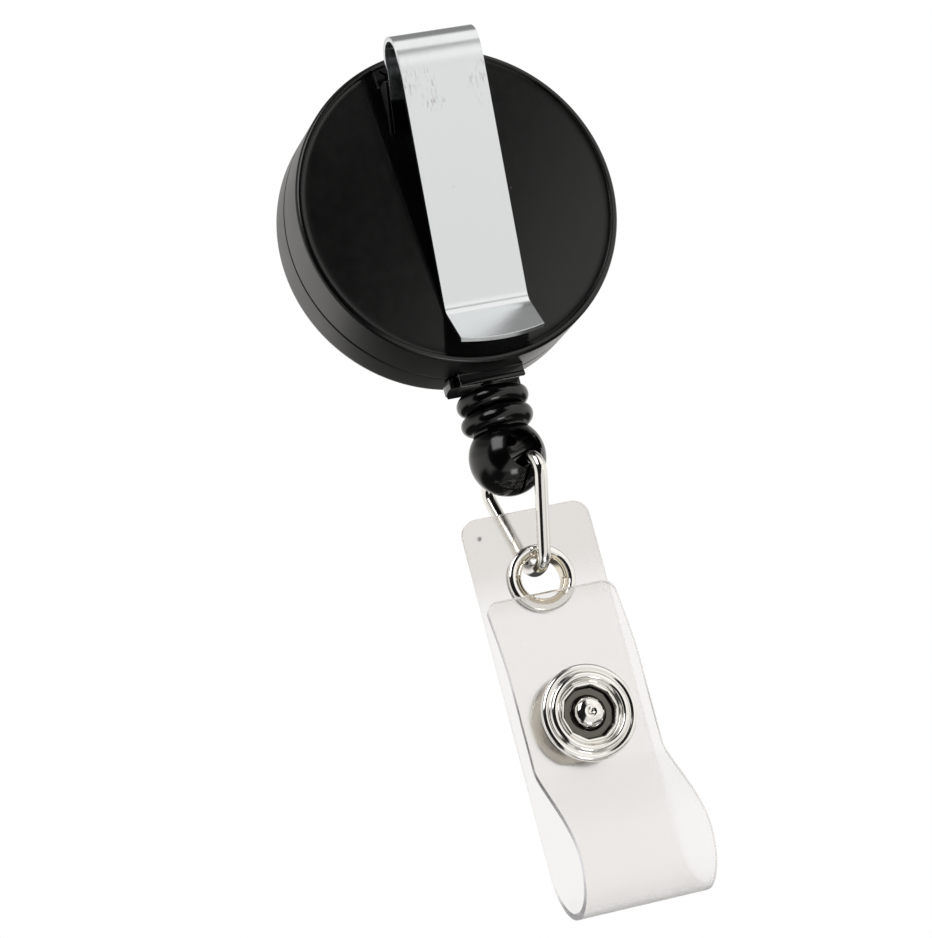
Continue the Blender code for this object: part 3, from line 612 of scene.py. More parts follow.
def curve(start: Pair, pull_a: Pair, pull_b: Pair, end: Pair, count: int) -> list[Pair]:
    """Points on a cubic curve.

    Args:
        start: its first point.
        pull_a: the handle of the first point.
        pull_b: the handle of the last point.
        end: its last point.
        count: how many steps lie between them.

    Returns:
        count + 1 points.
    """
    points = []
    for step in range(count + 1):
        t = step / count
        s = 1 - t
        weights = (s**3, 3 * s * s * t, 3 * s * t * t, t**3)
        corners = (start, pull_a, pull_b, end)
        points.append(tuple(sum(w * c[i] for w, c in zip(weights, corners)) for i in (0, 1)))
    return points


def rounded(profile: Sequence[tuple[float, float, float]], steps: int = 5) -> list[Pair]:
    """Rounds the corners of a profile.

    Args:
        profile: corners as (radius, level, rounding); a rounding of 0 stays sharp.
        steps: points on each rounded corner.

    Returns:
        The profile's points.
    """
    points: list[Pair] = []
    last = len(profile) - 1
    for index, (x, y, size) in enumerate(profile):
        if size <= 0 or index in (0, last):
            points.append((x, y))
            continue
        here = Vector((x, y))
        before = Vector(profile[index - 1][:2]) - here
        after = Vector(profile[index + 1][:2]) - here
        reach = min(size, before.length * 0.49, after.length * 0.49)
        start = here + before.normalized() * reach
        end = here + after.normalized() * reach
        for step in range(steps + 1):
            t = step / steps
            bend = start * (1 - t) ** 2 + here * (2 * t * (1 - t)) + end * t * t
            points.append((bend.x, bend.y))
    return points


def finish_mesh(name: str, form: bmesh.types.BMesh, sharp: float = 40.0) -> bpy.types.Object:
    """Turns a bmesh into a smooth-shaded object.

    Args:
        name: the piece's name.
        form: the mesh being built, which is freed.
        sharp: edges that bend more than this, in degrees, stay sharp.

    Returns:
        The new object.
    """
    bmesh.ops.recalc_face_normals(form, faces=form.faces)
    mesh = bpy.data.meshes.new(name)
    form.to_mesh(mesh)
    form.free()
    obj = bpy.data.objects.new(name, mesh)
    bpy.context.scene.collection.objects.link(obj)
    smooth(obj, sharp)
    return obj


def smooth(obj: bpy.types.Object, sharp: float = 40.0) -> None:
    """Shades a mesh smooth, but for edges that bend more than an angle in degrees.

    Args:
        obj: the object.
        sharp: the angle, in degrees.
    """
    obj.data.shade_smooth()
    obj.data.set_sharp_from_angle(angle=math.radians(sharp))


def skin(name: str, rings: Sequence[Sequence[Vector]], loop: bool = False) -> bpy.types.Object:
    """A closed surface over rings of points; a ring of one point is a pole.

    Args:
        name: the piece's name.
        rings: the rings in order.
        loop: whether the last ring joins the first.

    Returns:
        The new object.
    """
    form = bmesh.new()
    rows = [[form.verts.new(point) for point in ring] for ring in rings]
    following = rows[1:] + rows[:1] if loop else rows[1:]
    for low, high in zip(rows, following):
        count = max(len(low), len(high))
        for i in range(count):
            j = (i + 1) % count
            here = (low[i % len(low)], low[j % len(low)])
            above = (high[j % len(high)], high[i % len(high)])
            distinct = list(dict.fromkeys((*here, *above)))
            if len(distinct) > 2:
                form.faces.new(distinct)
    if not loop:
        for row in (rows[0], rows[-1]):
            if len(row) > 2:
                form.faces.new(row)
    return finish_mesh(name, form)


def turned(
    name: str,
    profile: Sequence[Pair],
    centre: Sequence[float],
    axis: Axis = Axis.DEPTH,
    steps: int = 96,
    change: Callable[[float, float, float], Pair] | None = None,
) -> bpy.types.Object:
    """A turned piece.

    Args:
        name: the piece's name.
        profile: (radius, level) points; it is open if it starts on the axis, else closed.
        centre: the point on the axis at level 0.
        axis: the axis it is turned about.
        steps: points round the axis.
        change: gives a point's (radius, level) from its angle, radius and level.

    Returns:
        The new object.
    """
    on_axis = 1e-7
    rings = []
    for radius, level in profile:
        ring = []
        for step in range(steps if radius > on_axis else 1):
            angle = 2 * math.pi * step / steps
            r, z = change(angle, radius, level) if change else (radius, level)
            across, up = r * math.cos(angle), r * math.sin(angle)
            offset = (across, z, up) if axis is Axis.DEPTH else (across, up, z)
            ring.append(Vector(centre) + Vector(offset))
        rings.append(ring)
    return skin(name, rings, loop=profile[0][0] > on_axis)


def tube(
    name: str,
    route: Sequence[Vector],
    radius: float,
    sides: int = 16,
    loop: bool = False,
    taper: float = 0.0,
) -> bpy.types.Object:
    """A round tube along a route.

    Args:
        name: the piece's name.
        route: its middle line.
        radius: its radius.
        sides: points round it.
        loop: whether it closes on itself.
        taper: how much the radius shrinks over the last points of each end, as a share.

    Returns:
        The new object.
    """
    count = len(route)
    normal = (route[1] - route[0]).orthogonal().normalized()
    rings = []
    for index, point in enumerate(route):
        before = route[index - 1] if loop or index else point
        after = route[(index + 1) % count] if loop or index < count - 1 else point
        ahead = (after - before).normalized()
        normal = (normal - ahead * normal.dot(ahead)).normalized()
        side = ahead.cross(normal)
        size = radius * (1 - taper) if not loop and index in (0, count - 1) else radius
        ring = []
        for step in range(sides):
            angle = 2 * math.pi * step / sides
            ring.append(point + (normal * math.cos(angle) + side * math.sin(angle)) * size)
        rings.append(ring)
    if loop:
        first, last = rings[0], rings[-1]
        shift = min(range(sides), key=lambda k: (last[0] - first[k]).length)
        rings[0] = first[shift:] + first[:shift]
        return skin(name, rings, loop=True)
    return skin(name, rings)


def block(
    name: str, low: Sequence[float], high: Sequence[float], edge: float, segments: int = 3
) -> bpy.types.Object:
    """A box with rounded edges.

    Args:
        name: the piece's name.
        low: its lowest corner.
        high: its highest corner.
        edge: the radius of its edges.
        segments: faces across each rounded edge.

    Returns:
        The new object.
    """
    form = bmesh.new()
    bmesh.ops.create_cube(form, size=1.0)
    for vert in form.verts:
        for axis in range(3):
            vert.co[axis] = low[axis] if vert.co[axis] < 0 else high[axis]
    if edge > 0:
        bmesh.ops.bevel(
            form, geom=form.edges[:], offset=edge, segments=segments, profile=0.5, affect="EDGES"
        )
    return finish_mesh(name, form)


def settle(obj: bpy.types.Object, sharp: float = 40.0) -> bpy.types.Object:
    """Applies an object's modifiers to its mesh and shades it smooth.

    Args:
        obj: the object.
        sharp: edges that bend more than this, in degrees, stay sharp.

    Returns:
        The same object.
    """
    bpy.context.view_layer.update()
    graph = bpy.context.evaluated_depsgraph_get()
    mesh = bpy.data.meshes.new_from_object(obj.evaluated_get(graph))
    obj.modifiers.clear()
    obj.data = mesh
    mesh.name = obj.name
    smooth(obj, sharp)
    return obj


def combine(obj: bpy.types.Object, how: Cut, *others: bpy.types.Object) -> bpy.types.Object:
    """Joins other solids to one, or cuts them out of it, and removes them.

    Args:
        obj: the solid that stays.
        how: join or remove.
        *others: the solids used up.

    Returns:
        The changed object.
    """
    for other in others:
        modifier = obj.modifiers.new(other.name, "BOOLEAN")
        modifier.operation = how.value
        modifier.solver = "EXACT"
        modifier.object = other
    settle(obj)
    for other in others:
        bpy.data.objects.remove(other, do_unlink=True)
    return obj


class Strip:
    """A flat strip that runs across X and follows a route in depth and height."""

    def __init__(self, route: Sequence[Pair], spacing: float) -> None:
        """Resamples the route evenly.

        Args:
            route: (y, z) points.
            spacing: the distance between stations.
        """
        points = [Vector(point) for point in route]
        lengths = [0.0]
        for first, second in zip(points, points[1:]):
            lengths.append(lengths[-1] + (second - first).length)
        self.points = points
        self.lengths = lengths
        self.length = lengths[-1]
        self.stations = max(2, round(self.length / spacing))

    def at(self, distance: float) -> Vector:
        """The route's point at a distance from its start, run on straight past its ends.

        Args:
            distance: the distance, in metres.

        Returns:
            The point, as (y, z).
        """
        index = 0
        while index < len(self.points) - 2 and self.lengths[index + 1] < distance:
            index += 1
        first, second = self.points[index], self.points[index + 1]
        span = self.lengths[index + 1] - self.lengths[index]
        return first + (second - first) * ((distance - self.lengths[index]) / span)

    def build(
        self,
        name: str,
        half_width: float,
        thickness: float,
        trims: tuple[Callable[[float], float], Callable[[float], float]],
        edge: float,
        columns: int = 32,
    ) -> bpy.types.Object:
        """The strip as a solid with rounded cut edges.

        Args:
            name: the piece's name.
            half_width: half of its width.
            thickness: its thickness.
            trims: how far each end is cut back at a given x.
            edge: the radius of its cut edges.
            columns: faces across the strip.

        Returns:
            The new object.
        """
        blend_length = 3.0 * MM
        form = bmesh.new()
        rows = []
        for station in range(self.stations + 1):
            base = self.length * station / self.stations
            row = []
            for column in range(columns + 1):
                x = half_width * math.sin(math.pi / 2 * (2 * column / columns - 1))
                near = max(0.0, 1 - base / blend_length)
                far = max(0.0, 1 - (self.length - base) / blend_length)
                s = base + trims[0](x) * near - trims[1](x) * far
                y, z = self.at(s)
                row.append(form.verts.new((x, y, z)))
            rows.append(row)
        for low, high in zip(rows, rows[1:]):
            for i in range(columns):
                form.faces.new((low[i], low[i + 1], high[i + 1], high[i]))
        obj = finish_mesh(name, form)
        thick = obj.modifiers.new("thickness", "SOLIDIFY")
        thick.thickness = thickness
        thick.offset = 0.0
        settle(obj)
        bevel = obj.modifiers.new("edges", "BEVEL")
        bevel.width = edge
        bevel.segments = 3
        bevel.limit_method = "ANGLE"
        bevel.angle_limit = math.radians(60)
        return settle(obj, 50.0)


def corner_trim(half_width: float, radius: float) -> Callable[[float], float]:
    """The cut-back of an end whose two corners are rounded.

    Args:
        half_width: half of the strip's width.
        radius: the corners' radius.

    Returns:
        A function that gives the cut-back at x.
    """

    def trim(x: float) -> float:
        """The cut-back at x."""
        over = abs(x) - (half_width - radius)
        if over <= 0:
            return 0.0
        return radius - math.sqrt(max(0.0, radius * radius - over * over))

    return trim


def straight_trim(_x: float) -> float:
    """The cut-back of a square end."""
    return 0.0


# --- places read from the frame ------------------------------------------------------------
def joint_place(name: str) -> Vector:
    """Where a joint's axis stands.

    Args:
        name: the joint's name.

    Returns:
        The point, in the frame's metres.
    """
    for joint in frame["joints"]:
        if joint["name"] == name:
            return Vector(joint["pos_m"])
    raise KeyError(name)


@dataclass
class Layout:
    """The places that the sub-assemblies share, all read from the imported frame."""

    case_depth: float = 10.4 * MM
    vinyl: float = 0.6 * MM
    ball_radius: float = 3.75 * MM
    strip: float = 0.45 * MM

    def __post_init__(self) -> None:
        """Reads the nodes' boxes and the joints' axes."""
        low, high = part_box("front_shell")
        self.radius = (high.x - low.x) / 2
        self.axis_z = (high.z + low.z) / 2
        self.label_y = high.y
        self.rim_y = high.y - self.case_depth
        self.seam_y = low.y
        self.bend = joint_place("clip_flex")
        self.clip_half = (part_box("clip_arm")[1].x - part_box("clip_arm")[0].x) / 2
        stopper_low, stopper_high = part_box("stopper")
        self.ball = Vector((0.0, self.seam_y, stopper_low.z + self.ball_radius))
        self.stopper_top = stopper_high.z
        self.link_low, self.link_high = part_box("wire_link")
        strap_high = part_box("strap_back")[1]
        flap_low, flap_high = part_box("strap_flap")
        self.strap_half = strap_high.x
        self.strap_y = strap_high.y - self.vinyl / 2
        self.strap_top = strap_high.z
        self.flap_top = flap_high.z
        self.fold_radius = (self.strap_y - flap_low.y - self.vinyl / 2) / 2
        self.fold_y = self.strap_y - self.fold_radius
        self.fold_z = flap_low.z + self.vinyl / 2 + self.fold_radius
        eye_low, eye_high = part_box("eyelet")
        self.eye = Vector((0.0, self.strap_y, (eye_low.z + eye_high.z) / 2))
        cap_low, cap_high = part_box("snap_cap")
        self.snap_z = (cap_low.z + cap_high.z) / 2
        self.cap_radius = (cap_high.x - cap_low.x) / 2
        self.flap_y = cap_high.y - 0.5 * MM

    def case(self, depth: float, height: float) -> Pair:
        """(y, z) of a depth behind the rim and a height above the case's axis.

        Args:
            depth: the depth.
            height: the height.

        Returns:
            The point, as (y, z).
        """
        return (self.rim_y + depth, self.axis_z + height)


def wear(obj: bpy.types.Object, material: bpy.types.Material) -> bpy.types.Object:
    """Gives a piece its material.

    Args:
        obj: the piece.
        material: its material.

    Returns:
        The same piece.
    """
    obj.data.materials.clear()
    obj.data.materials.append(material)
    return obj


def report(obj: bpy.types.Object) -> None:
    """Logs a finished piece."""
    LOG.info("%s: %d faces", obj.name, len(obj.data.polygons))


# --- case ----------------------------------------------------------------------------------
@dataclass
class CaseShells:
    """The two moulded halves of the round case, with the clip's pocket on the clip side."""

    at: Layout
    wall: float = 1.1 * MM
    dish: float = 0.35 * MM
    face: float = 0.14 * MM
    dish_radius: float = 15.35 * MM
    inner_radius: float = 14.9 * MM
    rim_round: float = 0.42 * MM
    label_round: float = 1.55 * MM
    label_depth: float = 0.25 * MM
    label_radius: float = 12.7 * MM
    seam_chamfer: float = 0.14 * MM
    pocket_half: float = 4.85 * MM
    rail: float = 0.5 * MM
    pocket_top: float = 12.6 * MM
    pocket_mouth: float = 10.9 * MM
    pocket_end: float = 7.8 * MM
    pocket_rise: float = 1.9 * MM
    cover: float = 0.55 * MM
    boss: float = 2.6 * MM
    boss_height: float = 0.9 * MM
    post: float = 1.6 * MM
    steps: int = 192

    def window(self) -> bpy.types.Object:
        """The cutter of the window that the exit block fills.

        Returns:
            The cutter.
        """
        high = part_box("cord_guide")[1]
        half = 3.4 * MM
        reach = 2.1 * MM
        seam = self.at.seam_y
        return block(
            "window",
            (-half, seam - reach, self.at.axis_z - self.at.radius - MM),
            (half, seam + reach, high.z + 0.05 * MM),
            0.0,
        )

    def pocket_surface(self, height: float) -> float:
        """Depth of the pocket's sloping front at a height.

        Args:
            height: the height above the case's axis.

        Returns:
            The depth behind the rim.
        """
        slope = (self.pocket_rise + self.dish) / (self.pocket_top - self.pocket_end)
        return self.dish - (height - self.pocket_end) * slope

    def wedge(self, name: str, x: Pair, outline: Sequence[Pair], edge: float) -> bpy.types.Object:
        """A solid across X.

        Args:
            name: the solid's name.
            x: its two ends.
            outline: (depth, height) corners.
            edge: the radius of its edges.

        Returns:
            The solid.
        """
        form = bmesh.new()
        sides = []
        for end in x:
            sides.append([form.verts.new((end, *self.at.case(d, h))) for d, h in outline])
        form.faces.new(sides[0])
        form.faces.new(sides[1])
        for i in range(len(outline)):
            j = (i + 1) % len(outline)
            form.faces.new((sides[0][i], sides[0][j], sides[1][j], sides[1][i]))
        if edge > 0:
            bmesh.ops.recalc_face_normals(form, faces=form.faces)
            bmesh.ops.bevel(
                form, geom=form.edges[:], offset=edge, segments=3, profile=0.5, affect="EDGES"
            )
        return finish_mesh(name, form)

    def pocket(self) -> list[bpy.types.Object]:
        """The two tapered rails of the pocket and the cover between them.

        Returns:
            The three solids.
        """
        sunk = 0.5 * MM
        top, end = self.pocket_top, self.pocket_end
        lip = 0.12 * MM
        made = []
        for side in (-1, 1):
            outer = side * self.pocket_half
            inner = side * (self.pocket_half - self.rail)
            outline = [
                (self.dish + sunk, end - 0.3 * MM),
                (self.dish - lip / 2, end - 0.1 * MM),
                (self.pocket_surface(top) - lip, top - 0.1 * MM),
                (self.pocket_surface(top) - lip + 0.25 * MM, top + 0.15 * MM),
                (self.dish + sunk, top + 0.15 * MM),
            ]
            x = (min(outer, inner), max(outer, inner))
            made.append(self.wedge("pocket_rail", x, outline, 0.09 * MM))
        reach = self.pocket_half - self.rail * 0.6
        outline = [
            (self.dish + sunk, end - 0.2 * MM),
            (self.dish - 0.02 * MM, end),
            (self.pocket_surface(self.pocket_mouth), self.pocket_mouth),
            (self.pocket_surface(self.pocket_mouth) + self.cover, self.pocket_mouth),
            (self.pocket_surface(end + 0.6 * MM) + self.cover, end + 0.6 * MM),
            (self.dish + sunk, end + 0.6 * MM),
        ]
        made.append(self.wedge("pocket_cover", (-reach, reach), outline, 0.06 * MM))
        return made

    def gusset(self) -> list[bpy.types.Object]:
        """A small forked rib on the dish, between the rim and the pocket's rail.

        Returns:
            Its three short limbs.
        """
        stem_low, fork = (-3.85, 13.0), (-3.8, 14.0)
        made = []
        for start, end in ((stem_low, fork), (fork, (-4.35, 14.5)), (fork, (-3.3, 14.35))):
            route = []
            for x, height in (start, end):
                y, z = self.at.case(self.face - 0.02 * MM, height * MM)
                route.append(Vector((x * MM, y, z)))
            middle = (route[0] + route[1]) / 2
            made.append(tube("gusset", [route[0], middle, route[1]], 0.13 * MM, 10, taper=0.4))
        return made

    def clip_side(self) -> bpy.types.Object:
        """The half with the dished face, the rim and the pocket.

        Returns:
            The half shell.
        """
        seam = self.at.seam_y - self.at.rim_y - 0.05 * MM
        floor = self.dish + self.wall
        lap = (self.at.radius + self.inner_radius) / 2
        rim_flat = self.at.radius - self.rim_round
        profile = rounded(
            [
                (0.0, floor - 0.6 * MM, 0),
                (self.post, floor - 0.6 * MM, 0),
                (self.post, floor + self.boss_height, 0.05 * MM),
                (self.boss, floor + self.boss_height, 0.1 * MM),
                (self.boss, floor, 0.2 * MM),
                (self.inner_radius, floor, 0.5 * MM),
                (self.inner_radius, seam + 0.6 * MM, 0),
                (lap, seam + 0.6 * MM, 0),
                (lap, seam, 0),
                (self.at.radius - self.seam_chamfer, seam, 0.02 * MM),
                (self.at.radius, seam - self.seam_chamfer, 0.05 * MM),
            ]
        )
        profile += arc((rim_flat, self.rim_round), self.rim_round, 0, -84, 14)
        profile += rounded(
            [
                (rim_flat - 0.02 * MM, 0.0, 0),
                (self.dish_radius + 0.05 * MM, 0.0, 0.04 * MM),
                (self.dish_radius, self.face - 0.01 * MM, 0.05 * MM),
                (self.dish_radius - 0.6 * MM, self.face, 0.2 * MM),
                (self.dish_radius * 0.5, self.face, 0),
                (0.0, self.face, 0),
            ]
        )
        centre = (0.0, self.at.rim_y, self.at.axis_z)
        shell = turned("clip_side_shell", profile, centre, steps=self.steps)
        combine(shell, Cut.JOIN, *self.pocket(), *self.gusset())
        low, high = self.pocket_end + 0.6 * MM, self.pocket_top - 0.6 * MM
        deep = self.dish + 0.45 * MM
        slot = self.wedge(
            "slot",
            (-self.pocket_half + self.rail, self.pocket_half - self.rail),
            [
                (self.pocket_surface(low) + self.cover, low),
                (deep, low),
                (deep, high),
                (self.pocket_surface(self.pocket_top) + self.cover, high),
            ],
            0.0,
        )
        combine(shell, Cut.REMOVE, slot, self.window())
        return shell

    def label_side(self) -> bpy.types.Object:
        """The half with the shallow round recess for a label.

        Returns:
            The half shell.
        """
        depth = self.at.case_depth
        floor = depth - self.label_depth - self.wall + 0.15 * MM
        seam = self.at.seam_y - self.at.rim_y + 0.05 * MM
        lap = (self.at.radius + self.inner_radius) / 2 + 0.1 * MM
        corner = (self.at.radius - self.label_round, depth - self.label_round)
        profile = rounded(
            [
                (0.0, depth - self.label_depth, 0),
                (self.label_radius * 0.5, depth - self.label_depth, 0),
                (self.label_radius, depth - self.label_depth, 0.12 * MM),
                (self.label_radius + 0.1 * MM, depth, 0.1 * MM),
                (corner[0] - 0.05 * MM, depth, 0),
            ]
        )
        profile += arc(corner, self.label_round, 90, 0, 16)
        profile += rounded(
            [
                (self.at.radius, seam + self.seam_chamfer * 2, 0),
                (self.at.radius, seam + self.seam_chamfer, 0.05 * MM),
                (self.at.radius - self.seam_chamfer, seam, 0.02 * MM),
                (lap, seam, 0),
                (lap, seam + 0.7 * MM, 0),
                (self.inner_radius, seam + 0.7 * MM, 0),
                (self.inner_radius, floor, 0.5 * MM),
                (self.boss, floor, 0.2 * MM),
                (self.boss, floor - self.boss_height, 0.1 * MM),
                (self.post, floor - self.boss_height, 0.05 * MM),
                (self.post, floor + 0.4 * MM, 0),
                (0.0, floor + 0.4 * MM, 0),
            ]
        )
        centre = (0.0, self.at.rim_y, self.at.axis_z)
        shell = turned("label_side_shell", profile, centre, steps=self.steps)
        return combine(shell, Cut.REMOVE, self.window())

    def build(self) -> list[bpy.types.Object]:
        """Builds and dresses both halves.

        Returns:
            Both halves.
        """
        black = BlackMoulding("black_case", self.at.axis_z, self.dish_radius + 0.2 * MM).make()
        made = []
        for shell, node in ((self.clip_side(), "back_shell"), (self.label_side(), "front_shell")):
            wear(shell, black)
            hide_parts(node)
            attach(shell, Body.CASE.value)
            made.append(shell)
        return made


@dataclass
class ExitBlock:
    """The moulded block at the bottom of the case that the cord comes out of."""

    at: Layout
    half_width: float = 3.3 * MM
    half_depth: float = 2.0 * MM
    edge: float = 0.16 * MM
    bore: float = 0.7 * MM
    lumps: tuple[tuple[float, ...], ...] = (
        (-3.8, -2.0, 1.3, 0.0, 0.42),
        (-3.95, -3.1, -0.6, 0.45, 0.38),
        (-2.2, -1.2, 1.3, 0.16, 0.30),
        (-1.3, 1.3, 1.3, 0.22, -0.10),
        (1.2, 3.8, 1.3, 0.0, 0.42),
    )

    def build(self) -> bpy.types.Object:
        """Builds and dresses the block.

        Returns:
            The block.
        """
        low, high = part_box("cord_guide")
        seam = self.at.seam_y
        bottom = low.z + 0.4 * MM
        body = block(
            "exit_block",
            (-self.half_width, seam - self.half_depth, bottom),
            (self.half_width, seam + self.half_depth, high.z - 0.15 * MM),
            self.edge,
            4,
        )
        lip = block(
            "lip",
            (-self.half_width, seam - self.half_depth - 0.05 * MM, bottom),
            (self.half_width, seam - self.half_depth + 0.6 * MM, bottom + 0.5 * MM),
            0.12 * MM,
            4,
        )
        band = block(
            "band",
            (-self.half_width - 0.02 * MM, seam - self.half_depth - 0.04 * MM, bottom + 1.0 * MM),
            (self.half_width, seam - self.half_depth + 0.5 * MM, bottom + 1.35 * MM),
            0.1 * MM,
        )
        flange = block(
            "flange",
            (low.x + 0.1 * MM, seam - 2.45 * MM, high.z - 0.9 * MM),
            (high.x - 0.1 * MM, seam + 2.45 * MM, high.z),
            0.08 * MM,
        )
        feet = []
        edge_z = self.at.axis_z - self.at.radius
        for x0, x1, y0, z0, z1 in self.lumps:
            feet.append(
                block(
                    "foot",
                    (x0 * MM, seam + y0 * MM, low.z + z0 * MM),
                    (x1 * MM, seam + self.half_depth - 0.1 * MM, edge_z + z1 * MM),
                    0.22 * MM,
                    4,
                )
            )
        combine(body, Cut.JOIN, lip, band, flange, *feet)
        along_x = Matrix.Rotation(math.pi / 2, 4, "Z")
        saddle = turned(
            "saddle",
            [(0.0, -6 * MM), (4.2 * MM, -6 * MM), (4.2 * MM, 6 * MM), (0.0, 6 * MM)],
            (0.0, 0.0, 0.0),
        )
        saddle.data.transform(Matrix.Translation((0.0, seam, bottom - 3.85 * MM)) @ along_x)
        bore_route = rounded(
            [
                (0.0, high.z + 0.5 * MM, 0),
                (2.4 * MM, high.z + 0.5 * MM, 0),
                (2.0 * MM, high.z, 0.3 * MM),
                (1.2 * MM, high.z - 0.8 * MM, 0.6 * MM),
                (self.bore, high.z - 1.8 * MM, 0.5 * MM),
                (self.bore, bottom - 1.0 * MM, 0),
                (0.0, bottom - 1.0 * MM, 0),
            ]
        )
        bore = turned("bore", bore_route, (0.0, seam, 0.0), Axis.UP, 48)
        combine(body, Cut.REMOVE, saddle, bore)
        black = BlackMoulding("black_block", self.at.axis_z, 0.0, 0.09, side_sheen=False).make()
        wear(body, black)
        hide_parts("cord_guide")
        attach(body, Body.CASE.value)
        return body


# --- clip ----------------------------------------------------------------------------------
@dataclass
class BeltClip:
    """One strip of sprung steel: inner leg, rolled bend, long arm and a turned-out lip."""

    at: Layout
    shells: CaseShells
    bend_radius: float = 2.0 * MM
    lip_radius: float = 17.0 * MM
    edge: float = 0.18 * MM
    leave: float = 11.6 * MM
    shoulder_height: float = 12.0 * MM
    shoulder_inward: float = 0.3 * MM
    touch: Pair = (-0.3 * MM, -9.6 * MM)
    turn: Pair = (-0.9 * MM, -11.7 * MM)
    tip: Pair = (-3.05 * MM, -14.6 * MM)

    def route(self) -> list[Pair]:
        """The strip's middle line as (y, z), from the pocket to the lip's end.

        Returns:
            The line's points.
        """
        bend_depth = self.at.bend.y - self.at.rim_y
        bend_height = self.at.bend.z - self.at.axis_z
        middle = self.shells.cover + 0.1 * MM + self.at.strip / 2

        def leg(height: float) -> Pair:
            """The leg's middle line in the pocket."""
            return (self.shells.pocket_surface(height) + middle, height)

        foot, leave = self.shells.pocket_end + 0.9 * MM, self.leave
        touch = self.touch
        near = bend_depth + self.bend_radius
        far = bend_depth - self.bend_radius
        shoulder = (far + self.shoulder_inward, self.shoulder_height)
        points = [
            leg(foot),
            *curve(
                leg(leave),
                leg(leave + MM),
                (near, bend_height - 1.2 * MM),
                (near, bend_height),
                10,
            ),
            *arc((bend_depth, bend_height), self.bend_radius, 0, 180, 40)[1:],
            *curve(
                (far, bend_height),
                (far, bend_height - 0.7 * MM),
                (shoulder[0] - 0.24 * MM, shoulder[1] + 0.9 * MM),
                shoulder,
                14,
            )[1:],
            *curve(
                touch,
                (touch[0] + 0.25 * MM, touch[1] - 1.0 * MM),
                (touch[0] + 0.05 * MM, touch[1] - 1.3 * MM),
                self.turn,
                14,
            ),
            self.tip,
        ]
        return [self.at.case(depth, height) for depth, height in points]

    def lip_trim(self, x: float) -> float:
        """How much shorter the lip is at x, for its arc-shaped end."""
        return (self.lip_radius - math.sqrt(self.lip_radius**2 - x * x)) / 0.8

    def build(self) -> bpy.types.Object:
        """Builds and dresses the clip.

        Returns:
            The clip.
        """
        strip = Strip(self.route(), 0.16 * MM)
        clip = strip.build(
            "belt_clip",
            self.at.clip_half,
            self.at.strip,
            (straight_trim, self.lip_trim),
            self.edge,
            columns=36,
        )
        nickel = StripNickel("clip_nickel", self.at.bend.z - 1.9 * MM, self.at.bend.z - 6.6 * MM)
        wear(clip, nickel.make())
        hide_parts("clip_spring_leg", "clip_arm")
        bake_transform(clip)
        return clip


